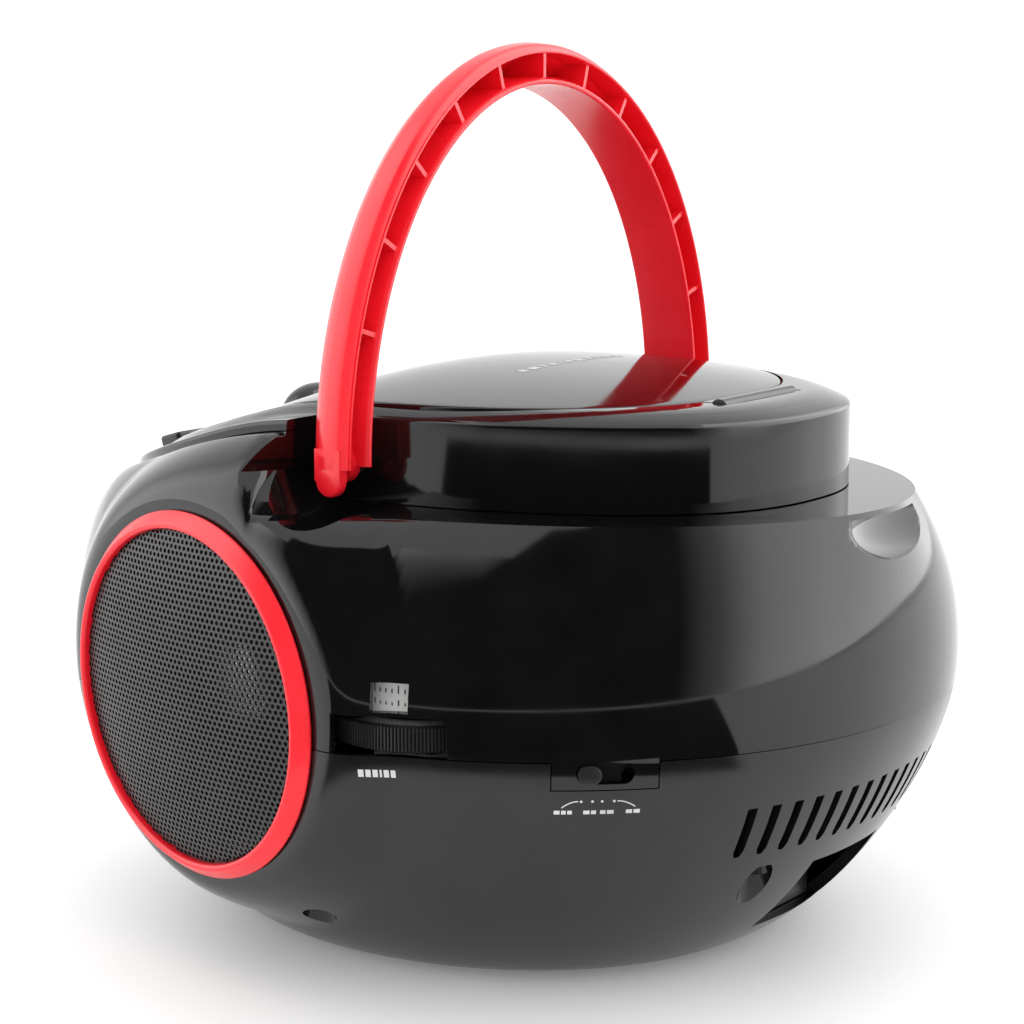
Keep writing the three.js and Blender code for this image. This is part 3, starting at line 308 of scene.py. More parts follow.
def together(pieces, name):
    """One object that holds several separate solids."""
    work = bmesh.new()
    for piece in pieces:
        work.from_mesh(piece.data)
        bpy.data.objects.remove(piece)
    mesh = bpy.data.meshes.new(name)
    work.to_mesh(mesh)
    work.free()
    result = bpy.data.objects.new(name, mesh)
    bpy.context.scene.collection.objects.link(result)
    return result


def place(piece, name, body, material, slot, replaces=(), crease=32):
    """Names a finished piece, gives it its finish and sets it on its body."""
    piece.name = name
    piece.data.name = name
    piece.data.materials.clear()
    piece.data.materials.append(material)
    for polygon in piece.data.polygons:
        polygon.material_index = 0
    piece.data.shade_smooth()
    piece.data.set_sharp_from_angle(angle=math.radians(crease))
    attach(piece, body)
    if replaces:
        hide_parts(*replaces)
    return piece


# ---------------------------------------------------------------- outlines and surfaces


def outline_ring(outline, angles=ANGLES):
    """x and y of a superellipse with its own front and rear halves."""
    c = np.cos(angles)
    s = np.sin(angles)
    power = 2 / outline.roundness
    depth = np.where(s > 0, outline.rear - outline.widest_y, outline.widest_y - outline.front)
    x = outline.half_width * np.sign(c) * np.abs(c) ** power
    y = outline.widest_y + depth * np.sign(s) * np.abs(s) ** power
    return x, y


def outline_share(x, y, outline):
    """How far out a place is: 0 in the middle and 1 on the edge."""
    depth = np.where(y > outline.widest_y, outline.rear - outline.widest_y, outline.widest_y - outline.front)
    across = np.abs(x / outline.half_width) ** outline.roundness
    along = np.abs((y - outline.widest_y) / depth) ** outline.roundness
    return (across + along) ** (1 / outline.roundness)


def grow(outline, amount):
    return outline._replace(
        half_width=outline.half_width + amount,
        rear=outline.rear + amount,
        front=outline.front - amount,
    )


def smooth(start, end, value):
    t = np.clip((value - start) / (end - start), 0, 1)
    return t * t * (3 - 2 * t)


def stack(x, y, z):
    return np.stack([x, y, np.broadcast_to(z, x.shape)], 1)


def prism(outline, z0, z1, taper=0.0):
    low = stack(*outline_ring(outline), z0)
    high = stack(*outline_ring(grow(outline, -taper)), z1)
    return loft([low, high])


def deck_line(y):
    past = DECK_SLOPE_START_Y - y
    slide = DECK_SLOPE_SOFTNESS * np.log1p(np.exp(past / DECK_SLOPE_SOFTNESS))
    return DECK_EDGE_Z - DECK_SLOPE * slide


def deck_height(x, y):
    inward = np.clip((1 - outline_share(x, y, DECK)) / DECK_CROWN_BAND, 0, 1)
    return deck_line(y) + DECK_CROWN * np.sin(inward * math.pi / 2) ** 0.9


def lid_height(x, y):
    share = outline_share(x, y, LID)
    return deck_line(y) + DECK_CROWN + LID_CROWN * np.clip(1 - share * share, 0, None)


def scaled_ring(outline, share):
    x, y = outline_ring(outline)
    return x * share, outline.widest_y + (y - outline.widest_y) * share


def below(height, outline, shares, offset):
    """Everything under a height surface, out to the first share of the outline."""
    rings = []
    for share in shares:
        x, y = scaled_ring(outline, share)
        rings.append(stack(x, y, height(x, y) + offset))
    foot = rings[0].copy()
    foot[:, 2] = FOOT_HEIGHT
    return loft([foot, *rings])


def below_deck(offset):
    inner = 1 - DECK_CROWN_BAND
    shares = [1.8, 1.4, 1.2, 1.1, 1.001, *np.linspace(1, inner, 12), *np.linspace(inner - 0.05, 0.05, 12)]
    return below(deck_height, DECK, shares, offset)


def below_lid(offset):
    return below(lid_height, LID, [1.1, 1.05, *np.linspace(1, 0.02, 36)], offset)


def rounded_top(outline, foot_z, height, radius, name="rounded"):
    """A block under a height surface, with its top edge rounded."""
    x, y = outline_ring(outline)
    reach = np.hypot(x, y - outline.widest_y)
    rings = [stack(x, y, foot_z)]
    for angle in np.linspace(0, math.pi / 2, 9):
        inset = radius * (1 - math.cos(angle))
        share = 1 - inset / reach
        px = x * share
        py = outline.widest_y + (y - outline.widest_y) * share
        rings.append(stack(px, py, height(px, py) - radius * (1 - math.sin(angle))))
    edge = 1 - radius / reach
    for inner in np.linspace(0.97, 0.02, 40):
        px = x * edge * inner
        py = outline.widest_y + (y - outline.widest_y) * edge * inner
        rings.append(stack(px, py, height(px, py)))
    return loft(rings, name)


# ---------------------------------------------------------------- the case's outer form


def speaker_axis(side):
    centre = np.array([side * SPEAKER[0], SPEAKER[1], SPEAKER[2]])
    level = math.cos(SPEAKER_PITCH)
    normal = np.array([
        side * math.cos(SPEAKER_YAW) * level, -math.sin(SPEAKER_YAW) * level, math.sin(SPEAKER_PITCH),
    ])
    return centre, normal


def with_speaker_face(points, inset):
    """Moves the case level onto the flat face round each speaker, fading out over POD_BLEND."""
    result = points.copy()
    for side in (-1, 1):
        centre, normal = speaker_axis(side)
        here = np.sign(points[:, 0]) == side
        offset = points[here] - centre
        height = offset @ normal
        radius = np.linalg.norm(offset - np.outer(height, normal), axis=1)
        share = 1 - smooth(RING_RADIUS + 1, RING_RADIUS + 1 + POD_BLEND, radius)
        level = unit([normal[0], normal[1], 0.0])
        result[here] = points[here] - np.outer((height + inset) * share / (normal @ level), level)
    return result


PARTING_T = (PARTING_Z - WIDEST_Z) / (LEDGE_Z - WIDEST_Z)


def case_ring(inset):
    """The case at its widest level. Its front half is a little less square than its rear half."""
    rear_x, rear_y = outline_ring(grow(CASE, -inset))
    front_x, front_y = outline_ring(grow(CASE, -inset)._replace(roundness=CASE_FRONT_ROUNDNESS))
    in_front = rear_y < 0
    return np.where(in_front, front_x, rear_x), np.where(in_front, front_y, rear_y)


def upper_ring(t, inset):
    """Ring of the upper case: t is 0 at the widest level and 1 at the top."""
    wide_x, wide_y = case_ring(inset)
    ledge_x, ledge_y = outline_ring(grow(LEDGE, -inset))
    front_x, front_y = outline_ring(grow(FRONT_DECK, -inset))
    at_front = 1 - smooth(-8, 6, wide_y)
    round_profile = 1 - smooth(0, 60, wide_y)
    top_x = ledge_x + (front_x - ledge_x) * at_front
    top_y = ledge_y + (front_y - ledge_y) * at_front
    top_z = LEDGE_Z + (deck_line(top_y) - DECK_LIP - LEDGE_Z) * at_front + 1 - inset
    share = (1 - t * t) + (math.sqrt(max(0, 1 - t * t)) - (1 - t * t)) * round_profile
    rise = LEDGE_Z - WIDEST_Z if t < 0 else top_z - WIDEST_Z
    x = top_x + (wide_x - top_x) * share
    y = top_y + (wide_y - top_y) * share
    return with_speaker_face(stack(x, y, WIDEST_Z + t * rise), inset)


def upper_body(inset):
    levels = np.sin(np.linspace(math.asin(PARTING_T), math.pi / 2, 56))
    rings = [upper_ring(t, inset) for t in levels]
    crown = rings[-1] * [0.98, 0.98, 1] + [0, 0, DECK_LIP]
    return loft([*rings, crown])


def lower_ring(turn, inset):
    """Ring of the lower case: turn is 0 at the parting line and a quarter turn at the base."""
    down = math.sin(turn) ** (2 / BASE_ROUNDNESS)
    round_share = max(0.0, math.cos(turn)) ** (2 / BASE_ROUNDNESS)
    at_parting = 1 - PARTING_T ** 2 * 0.8 * (1 - LEDGE.half_width / CASE.half_width)
    size = (BASE_RATIO + (1 - BASE_RATIO) * round_share) * at_parting
    x, y = case_ring(0)
    shrink = size - inset / np.hypot(x, y)
    z = PARTING_Z - (PARTING_Z - FOOT_HEIGHT - inset) * down
    return with_speaker_face(stack(x * shrink, y * shrink, z), inset)


def lower_body(inset):
    rings = [lower_ring(turn, inset) for turn in np.linspace(math.pi / 2, 0.02, 48)]
    rim = upper_ring(PARTING_T, 0)
    reach = np.hypot(rim[:, 0], rim[:, 1])[:, None]
    rim[:, :2] *= 1 - inset / reach
    return loft([*rings, rim])


# ---------------------------------------------------------------- places on the case

UP = np.array([0.0, 0.0, 1.0])


def wheel_normal(side):
    return unit([side * 0.96, 0.28, 0.0])


def wheel_base(side):
    return np.array([side * WHEEL_X, WHEEL_Y, WHEEL_Z])


SWITCH_NORMAL = unit([0.764, 0.645, 0.0])
SWITCH_ALONG = np.array([-SWITCH_NORMAL[1], SWITCH_NORMAL[0], 0.0])


def facing_box(centre, normal, half_length, half_depth, z0, z1):
    """A box that stands upright and faces along a level normal."""
    centre = np.array([centre[0], centre[1], 0.0])
    along = np.array([-normal[1], normal[0], 0.0])
    corners = [(-1, -1), (1, -1), (1, 1), (-1, 1)]
    ring = [centre + normal * half_depth * a + along * half_length * b for a, b in corners]
    return loft([[p + UP * z for p in ring] for z in (z0, z1)])


def stadium_points(length, height, steps=12):
    radius = height / 2
    reach = length / 2 - radius
    right = arc((reach, 0), radius, -90, 90, steps)
    left = arc((-reach, 0), radius, 90, 270, steps)
    return right + left


def upright(points, centre, normal, outwards):
    """Puts a flat outline on an upright face, some way out along its normal."""
    along = np.array([-normal[1], normal[0], 0.0])
    start = np.array(centre, float) + normal * outwards
    return [start + along * u + UP * v for u, v in points]


def stadium(length, height, centre, normal, inside, outside):
    points = stadium_points(length, height)
    return loft([upright(points, centre, normal, out) for out in (-inside, outside)])


def speaker_hole(side):
    centre, normal = speaker_axis(side)
    return rod(SPEAKER_HOLE_RADIUS, centre - normal * 25, centre + normal * 25, 128)


def wheel_slot(side):
    surface = wheel_base(side) + wheel_normal(side) * WHEEL_RADIUS
    return facing_box(surface, wheel_normal(side), WHEEL_SLOT_HALF_LENGTH, 12, PARTING_Z - 1, WHEEL_SLOT_Z)


def scale_window_hole():
    surface = wheel_base(1) + wheel_normal(1) * WHEEL_RADIUS
    return facing_box(surface, wheel_normal(1), 4.6, 12, WHEEL_SLOT_Z + 0.9, WHEEL_SLOT_Z + 8)


def handle_notch(side):
    start = (side * (DECK.half_width - 1), HANDLE_Y, HANDLE_Z)
    end = (side * (CASE.half_width + 10), HANDLE_Y + 14, HANDLE_Z)
    return rod(NOTCH_RADIUS, start, end, 96)


def case_top(drop):
    """The space under the deck's lip in front, and under the ledge behind."""
    solid = below_deck(-DECK_LIP - drop)
    tower_side = DECK.half_width + DECK_DRAFT + SEAM
    return cut(
        solid,
        box(-140, 140, HANDLE_Y, 140, LEDGE_Z - drop, 170),
        box(-tower_side, tower_side, NOTCH_Y - drop, HANDLE_Y + 1, LEDGE_Z - drop, 170),
        box(-200, 200, NOTCH_Y - drop + 0.01, HANDLE_Y + 1, HANDLE_Z, 171),
    )


def ellipsoid(centre, radii, segments=96, levels=48):
    angles = np.linspace(-math.pi / 2 + 0.02, math.pi / 2 - 0.02, levels)
    turns = np.arange(segments) * 2 * math.pi / segments
    rings = []
    for angle in angles:
        x = centre[0] + radii[0] * math.cos(angle) * np.cos(turns)
        y = centre[1] + radii[1] * math.cos(angle) * np.sin(turns)
        rings.append(stack(x, y, centre[2] + radii[2] * math.sin(angle)))
    return loft(rings)


def finger_scoop(wall):
    """The crescent under the ledge's rear edge."""
    centre = (0, LEDGE.rear + SCOOP_OUTSIDE, LEDGE_Z - SCOOP_LIP)
    radii = (SCOOP_HALF_WIDTH + wall, SCOOP_REACH + wall, SCOOP_HEIGHT + wall)
    return overlap(ellipsoid(centre, radii), box(-60, 60, 60, 140, 60, LEDGE_Z - SCOOP_LIP + wall))


def deck_opening(clearance):
    key_row = (KEY_COUNT * KEY_PITCH) / 2 + 2 - clearance
    opening = prism(grow(DECK, -DECK_SUPPORT - clearance), 60, 200)
    return join(opening, box(-key_row, key_row, KEY_Y - 9 + clearance, KEY_Y + 12, 60, 201))


def display_hole(clearance):
    return box(
        -DISPLAY_HALF_WIDTH - clearance, DISPLAY_HALF_WIDTH + clearance,
        -140, -90, DISPLAY_BOTTOM_Z - clearance, DISPLAY_TOP_Z + clearance,
    )


def switch_tab_block(outer, clearance):
    half = SWITCH_TAB_LENGTH / 2 + clearance
    bottom = SWITCH_TAB_BOTTOM_Z - clearance
    return facing_box(SWITCH, SWITCH_NORMAL, half, outer, bottom, PARTING_Z + 3)


# ---------------------------------------------------------------- shells


def upper_shell():
    shell = overlap(upper_body(0), case_top(0))
    inside = overlap(upper_body(SHELL_WALL), case_top(SHELL_WALL))
    notch_floor = box(-200, 200, NOTCH_Y - SHELL_WALL, HANDLE_Y + NOTCH_RADIUS + 4, 116.5, 200)
    cut(shell, cut(inside, cut(notch_floor, deck_opening(0))), deck_opening(0))
    for side in (-1, 1):
        cut(shell, handle_notch(side), speaker_hole(side), wheel_slot(side))
    cut(shell, scale_window_hole())
    scoop_wall = overlap(finger_scoop(SHELL_WALL), upper_body(0), case_top(0))
    join(shell, scoop_wall)
    cut(shell, finger_scoop(0), display_hole(0), box(-200, 200, -200, 200, 0, PARTING_Z))
    return join(shell, switch_tab())


def switch_tab():
    """The upper shell reaches below the parting line round the switch."""
    outer = join(lower_body(0), upper_body(0))
    inner = join(lower_body(SHELL_WALL), upper_body(SHELL_WALL))
    slot = stadium(SWITCH_SLOT_LENGTH, SWITCH_SLOT_HEIGHT, SWITCH, SWITCH_NORMAL, 15, 15)
    return cut(overlap(cut(outer, inner), switch_tab_block(10, 0)), slot)


def vent(index):
    """A slot cut square to the back, with a square top and a narrow bottom."""
    x = (index - (VENT_COUNT - 1) / 2) * VENT_PITCH
    half = VENT_WIDTH / 2
    ring = [
        (-half, VENT_TOP_Z), (-half, VENT_BOTTOM_Z + 1.6), (-half * 0.5, VENT_BOTTOM_Z),
        (half * 0.5, VENT_BOTTOM_Z), (half, VENT_BOTTOM_Z + 1.6), (half, VENT_TOP_Z),
    ]
    normal = unit([x, CASE.rear, 0.0])
    back = (x, CASE.rear - x * x / (2 * CASE.rear), 0.0)
    return loft([upright(ring, back, normal, out) for out in (-VENT_DEPTH, VENT_DEPTH)])


def lower_shell():
    shell = cut(lower_body(0), lower_body(SHELL_WALL))
    bay = [-BAY_HALF_WIDTH, BAY_HALF_WIDTH, -BAY_HALF_DEPTH, BAY_HALF_DEPTH]
    bay_walls = box(bay[0] - 2, bay[1] + 2, bay[2] - 2, bay[3] + 2, FOOT_HEIGHT + 0.01, BAY_TOP_Z + 2)
    join(shell, bay_walls)
    cut(shell, box(*bay, 0, BAY_TOP_Z))
    for x, y in SCREW_PLACES:
        post = rod(SCREW_HOLE_RADIUS + 1.6, (x, y, 1), (x, y, 40))
        join(shell, overlap(post, lower_body(0.1)))
        cut(shell, rod(SCREW_HOLE_RADIUS, (x, y, 0), (x, y, 36)), rod(1.9, (x, y, 30), (x, y, 50), 24))
    cut(shell, together([vent(i) for i in range(VENT_COUNT)], "vents"))
    cut(shell, box(
        -INLET_HALF_WIDTH, INLET_HALF_WIDTH, INLET_FACE_Y - 6, 140, INLET_BOTTOM_Z, INLET_TOP_Z,
    ))
    for side in (-1, 1):
        cut(shell, speaker_hole(side))
    return cut(shell, switch_tab_block(14, SEAM), box(-200, 200, -200, 200, PARTING_Z - SEAM, 200))


def display_window():
    skin = cut(upper_body(0.2), upper_body(1.7))
    return overlap(skin, display_hole(-SEAM))


# ---------------------------------------------------------------- deck and lid


def hinge_rod(half_length, radius):
    return rod(radius, (-half_length, HINGE_Y, HINGE_Z), (half_length, HINGE_Y, HINGE_Z), 48)


def hinge_trough():
    side = HINGE_HALF_LENGTH + 0.6
    radius = HINGE_RADIUS + 0.6
    above = box(-side, side, LID.rear - 4, HINGE_Y + radius, HINGE_Z - 0.8, 200)
    return join(hinge_rod(side, radius), above)


def top_deck():
    tower = rounded_top(grow(DECK, 0.6), LEDGE_Z - 20, deck_height, DECK_EDGE_RADIUS)
    overlap(tower, box(-200, 200, NOTCH_Y + SEAM, 200, LEDGE_Z + SEAM, 200))
    hollow = overlap(prism(grow(DECK, -DECK_WALL), 60, 200), below_deck(-DECK_PLATE))
    cut(tower, hollow)
    front = rounded_top(FRONT_DECK, 60, deck_height, LIP_EDGE_RADIUS)
    overlap(front, box(-200, 200, -200, NOTCH_Y, 60, 200))
    cut(front, below_deck(SEAM - DECK_LIP))
    plate = cut(overlap(deck_opening(SEAM), below_deck(0)), below_deck(-DECK_PLATE))
    cup = rod(WELL_RADIUS + WELL_WALL, (0, WELL_Y, WELL_FLOOR_Z - WELL_WALL), (0, WELL_Y, 160), 180)
    overlap(cup, below_deck(-0.5))
    deck = join(tower, front, plate, cup)
    cut(deck, rod(WELL_RADIUS, (0, WELL_Y, WELL_FLOOR_Z), (0, WELL_Y, 200), 180))
    cut(deck, cut(prism(grow(LID, LID_GAP), 100, 200), below_deck(-LID_SEAT)))
    cut(deck, hinge_trough())
    cut(deck, rod(HUB_RADIUS + 3, (0, WELL_Y, 110), (0, WELL_Y, 130)))
    cut(deck, box(-7, 7, WELL_Y + 12, WELL_Y + 60, 110, 130))
    for index in range(KEY_COUNT):
        cut(deck, key_block(index, SEAM, 12, 12))
    return deck


def cd_lid():
    cover = rounded_top(LID, 100, lid_height, LID_EDGE_RADIUS)
    cut(cover, below_deck(SEAM - LID_SEAT))
    hollow = overlap(prism(grow(LID, -LID_WALL), 60, 200), below_lid(-LID_WALL))
    lid = cut(cover, hollow)
    grip_z = float(lid_height(np.array([0.0]), np.array([LID.front]))[0])
    grip = ellipsoid((0, LID.front, grip_z), (13, 7.5, 8.6))
    cut(grip, below_lid(-1), below_deck(SEAM + 0.2))
    arm = box(
        -HINGE_HALF_LENGTH, HINGE_HALF_LENGTH, LID.rear - 1.5, HINGE_Y, HINGE_Z - 0.2, HINGE_Z + 1.6,
    )
    return join(lid, grip, hinge_rod(HINGE_HALF_LENGTH, HINGE_RADIUS), arm)


# ---------------------------------------------------------------- keys

DECK_TILT = math.atan(DECK_SLOPE)


def key_frame(index):
    """Centre of a key on the deck, and the directions across, back and out of the deck."""
    x = (index - (KEY_COUNT - 1) / 2) * KEY_PITCH
    z = float(deck_height(np.array([0.0]), np.array([KEY_Y]))[0])
    back = np.array([0.0, math.cos(DECK_TILT), math.sin(DECK_TILT)])
    out = np.array([0.0, -math.sin(DECK_TILT), math.cos(DECK_TILT)])
    return np.array([x, KEY_Y, z]), np.array([1.0, 0.0, 0.0]), back, out


def rounded_rectangle(half_x, half_y, radius, steps=6):
    points = []
    for cx, cy, start in ((1, -1, -90), (1, 1, 0), (-1, 1, 90), (-1, -1, 180)):
        centre = (cx * (half_x - radius), cy * (half_y - radius))
        points += arc(centre, radius, start, start + 90, steps)
    return np.array(points)


def key_ring(index, inset, height, clearance=0.0, corner=1.6):
    centre, across, back, out = key_frame(index)
    half_x = KEY_WIDTH / 2 + clearance - inset
    half_y = KEY_DEPTH / 2 + clearance - inset
    points = rounded_rectangle(half_x, half_y, max(0.3, corner - inset))
    return centre + np.outer(points[:, 0], across) + np.outer(points[:, 1], back) + out * height


def key_block(index, clearance, up, down):
    return loft([key_ring(index, 0, height, clearance) for height in (-down, up)])


def key_cap(index):
    """A key with a rounded top edge and a dished top, on its hidden flange."""
    radius = 0.9
    foot = DECK_PLATE + KEY_PRESS
    rings = [key_ring(index, -0.9, -foot - 2.6), key_ring(index, -0.9, -foot - 1)]
    rings += [key_ring(index, 0, -foot - 1)]
    for angle in np.linspace(0, math.pi / 2, 7):
        inset = radius * (1 - math.cos(angle))
        rings.append(key_ring(index, inset, KEY_STAND - radius * (1 - math.sin(angle))))
    for inset in (1.4, 2.0, 2.8, 3.4):
        rings.append(key_ring(index, inset, KEY_STAND - 0.12 * (inset - radius)))
    return loft(rings)


# ---------------------------------------------------------------- handle


def arch_point(share, out, y):
    angle = share * math.pi
    return np.array([
        (HANDLE_INNER_HALF_WIDTH + out) * math.cos(angle),
        HANDLE_Y + y,
        HANDLE_Z + (HANDLE_INNER_HEIGHT + out) * math.sin(angle),
    ])


def handle_section():
    """The handle's section: distance out from the inner face, and y. A channel opens to the rear.

    The front of the outer face is cut back in a broad bevel, from the inner front edge to the crown.
    """
    depth = HANDLE_HALF_DEPTH
    thick = HANDLE_THICKNESS
    crest = thick + HANDLE_CROWN
    wall = HANDLE_WALL
    inner_front = arc((0.9, -depth + 1.3), 0.9, 180, 290, 5)
    outer = [(2.2, -depth + 1.6), (5.4, -depth + 3.9), (8.2, -depth + 6.3), (9.9, -depth + 8.6)]
    outer += [(crest - 0.25, 1.2), (crest, 2.8), (crest - 0.3, 4.6)]
    outer += arc((thick - 2.6, depth - 4.2), 3.9, 20, 66, 6)
    lip = arc((thick - 1.0, depth - 0.45), 0.45, 40, 170, 4)
    channel_out = thick - wall + 0.4
    channel = [(channel_out, depth - 1.2), (channel_out - 0.3, 1.6), (channel_out - 1.2, 0.4)]
    channel += [(wall + 0.8, -depth + 3.4), (wall, -depth + 3.8), (wall - 0.1, depth - 1.2)]
    inner_lip = arc((0.75, depth - 0.75), 0.75, 20, 180, 5)
    return inner_front + outer + lip + channel + inner_lip


def carry_handle():
    section = handle_section()
    steps = 180
    rings = [[arch_point(i / steps, out, y) for out, y in section] for i in range(steps + 1)]
    handle = loft(rings)
    ribs = []
    for index in range(HANDLE_RIBS):
        share = 0.5 + (index - (HANDLE_RIBS - 1) / 2) * HANDLE_RIB_PITCH
        ribs.append(handle_rib(share))
    join(handle, together(ribs, "ribs"))
    for side in (-1, 1):
        inner = HANDLE_INNER_HALF_WIDTH
        outer_face = inner + HANDLE_THICKNESS + HANDLE_CROWN
        tongue_y = HANDLE_Y + TONGUE_REAR
        tongue_z = HANDLE_Z - TONGUE_DROP
        radius = TONGUE_RADIUS
        rim = [(radius, 2.2), (radius - 0.4, 2.8), (radius - 1.2, 3.05), (1.2, 3.1)]
        tongue = turned(
            [(radius - 0.2, 0), (radius, 0.3), *rim],
            (side * (outer_face - 3.2), tongue_y, tongue_z), (side, 0, 0), 48,
        )
        neck_x = sorted((side * (outer_face - 3.2), side * (outer_face - 0.3)))
        neck = box(*neck_x, tongue_y - radius, tongue_y + radius, tongue_z, HANDLE_Z + 5)
        boss = rod(
            HANDLE_PIN_RADIUS + 2.2,
            (side * (inner + 0.2), HANDLE_Y, HANDLE_Z + 0.5),
            (side * (inner + 3.6), HANDLE_Y, HANDLE_Z + 0.5),
        )
        join(handle, tongue, neck, boss)
        bore = rod(
            HANDLE_PIN_RADIUS + 0.15,
            (side * (inner - 2), HANDLE_Y, HANDLE_Z),
            (side * (inner + HANDLE_PIN_DEPTH + SEAM), HANDLE_Y, HANDLE_Z),
        )
        cut(handle, bore)
    return handle


def handle_rib(share):
    """A thin plate across the handle's channel."""
    thick = HANDLE_THICKNESS
    depth = HANDLE_HALF_DEPTH
    middle = arch_point(share, thick / 2, 0)
    tangent = unit(arch_point(share + 0.01, thick / 2, 0) - arch_point(share - 0.01, thick / 2, 0))
    outwards = unit(np.cross(tangent, [0, 1, 0]))
    if outwards @ (middle - [0, HANDLE_Y, HANDLE_Z]) < 0:
        outwards = -outwards
    half = thick / 2 - 1.0
    front = [(-half, -depth + 2.4), (half - 0.6, -depth + 8.2)]
    rear = [(half - 0.6, depth - 1.1), (-half, depth - 1.1)]
    corners = [middle + outwards * out + np.array([0, y, 0]) for out, y in front + rear]
    return loft([[corner + tangent * along for corner in corners] for along in (-0.6, 0.6)])


# ---------------------------------------------------------------- loudspeakers


def speaker_ring(side):
    inner = RING_RADIUS - RING_WIDTH
    outer = RING_RADIUS
    profile = [(inner + 1.6, -5.4), (inner + 1.6, 0.3), (outer - 0.2, 0.3)]
    profile += arc((outer - 0.7, 0.8), 0.7, 0, 40, 4)
    profile += arc((inner + 0.9, RING_HEIGHT - 1.0), 1.0, 50, 180, 7)
    profile += [(inner - 0.1, -1.2), (inner - 0.1, -5.4)]
    centre, normal = speaker_axis(side)
    return face_outwards(turned(profile, centre, normal, 256, closed=True))


def grille_height(radius, edge):
    return GRILLE_EDGE + GRILLE_DOME * (1 - (radius / edge) ** 2)


def grille(side):
    """A domed sheet with round holes in staggered rows."""
    centre, normal = speaker_axis(side)
    across = unit([-normal[1], normal[0], 0.0])
    upwards = np.cross(normal, across)
    edge = RING_RADIUS - RING_WIDTH - SEAM
    rows = int(edge / (GRILLE_PITCH * 0.75 / 0.866)) + 2
    corner_reach = GRILLE_PITCH / math.sqrt(3)
    corner_angles = np.radians(30 + 60 * np.arange(6))
    hole_angles = np.radians(30 + 30 * np.arange(12))
    index = {}
    points = []

    def vertex(u, v, layer, key):
        reach = math.hypot(u, v)
        if reach > edge:
            u, v = u * edge / reach, v * edge / reach
        if key not in index:
            index[key] = len(points)
            height = grille_height(math.hypot(u, v), edge) - layer * GRILLE_SHEET
            points.append(centre + across * u + upwards * v + normal * height)
        return index[key]

    faces = []
    for row in range(-rows, rows + 1):
        for column in range(-rows, rows + 1):
            u = (column + (row % 2) / 2) * GRILLE_PITCH
            v = row * GRILLE_PITCH * math.sqrt(3) / 2
            if math.hypot(u, v) > edge - 0.35:
                continue
            loops = []
            for layer in (0, 1):
                corners = []
                for angle in corner_angles:
                    cu = u + corner_reach * math.cos(angle)
                    cv = v + corner_reach * math.sin(angle)
                    corners.append(vertex(cu, cv, layer, (round(cu, 2), round(cv, 2), layer)))
                holes = []
                for step, angle in enumerate(hole_angles):
                    hu = u + GRILLE_HOLE_RADIUS * math.cos(angle)
                    hv = v + GRILLE_HOLE_RADIUS * math.sin(angle)
                    holes.append(vertex(hu, hv, layer, (row, column, step, layer)))
                loops.append((corners, holes))
                for k in range(6):
                    face = [
                        corners[k], corners[(k + 1) % 6],
                        holes[(2 * k + 2) % 12], holes[2 * k + 1], holes[2 * k],
                    ]
                    faces.append(face if layer == 0 else face[::-1])
            top, bottom = loops[0][1], loops[1][1]
            for k in range(12):
                n = (k + 1) % 12
                faces.append([top[k], top[n], bottom[n], bottom[k]])
    sheet = new_object("sheet", points, faces)
    return close_border(sheet)


def close_border(sheet):
    """Joins the open borders of the front and back of a sheet."""
    work = bmesh.new()
    work.from_mesh(sheet.data)
    border = [edge for edge in work.edges if edge.is_boundary]
    bmesh.ops.bridge_loops(work, edges=border)
    bmesh.ops.recalc_face_normals(work, faces=work.faces)
    work.to_mesh(sheet.data)
    work.free()
    return sheet


def speaker_cone(side):
    centre, normal = speaker_axis(side)
    profile = [(0.5, -18.2), (13.6, -18.2), (24, -12.6), (32.4, -6.7), (34.0, -4.4)]
    profile += arc((35.2, -4.3), 1.5, 150, 20, 6)
    profile += [(36.7, -3.0), (36.6, -2.6)]
    profile += arc((34.4, -4.2), 2.0, 50, 140, 6)
    profile += [(31.6, -5.8), (23.2, -11.8), (12.6, -17.4), (0.5, -17.4)]
    return turned(profile, centre, normal, 128)


def dust_cap(side):
    centre, normal = speaker_axis(side)
    radius = 12.1
    turns = np.linspace(0, math.pi / 2 - 0.05, 12)
    dome = [(radius * math.cos(a), -16.4 + 5.2 * math.sin(a)) for a in turns]
    return turned([(0.4, -17.1), (radius, -17.1), *dome], centre, normal, 96)


# ---------------------------------------------------------------- wheels and switch


def knurled_wheel(side):
    base = wheel_base(side)
    count = WHEEL_TEETH * 4
    angles = np.arange(count) * 2 * math.pi / count
    wave = np.array([0.0, 0.42, 0.5, 0.42])[np.arange(count) % 4]
    rings = []
    for height, inset in ((0, 0.7), (0.5, 0), (WHEEL_THICKNESS - 0.5, 0), (WHEEL_THICKNESS, 0.7)):
        radius = WHEEL_RADIUS - 0.5 + wave * (1 - inset) - inset
        x = base[0] + radius * np.cos(angles)
        y = base[1] + radius * np.sin(angles)
        rings.append(stack(x, y, base[2] + height))
    return cut(loft(rings), axle_hole(base))


def axle_hole(base):
    return rod(3.15, (base[0], base[1], 40), (base[0], base[1], 120), 48)


def dial_drum():
    base = wheel_base(1)
    low = WHEEL_Z + WHEEL_THICKNESS + SEAM
    height = DIAL_TOP_Z - low
    profile = [(DIAL_RADIUS - 0.3, 0), (DIAL_RADIUS, 0.3), (DIAL_RADIUS, height - 0.3)]
    profile += [(DIAL_RADIUS - 0.3, height), (DIAL_RADIUS - 1.6, height), (DIAL_RADIUS - 1.6, 1.6)]
    profile += [(5, 1.6), (5, height - 2), (3.15, height - 2), (3.15, 0)]
    return turned(profile, (base[0], base[1], low), UP, 160, closed=True)


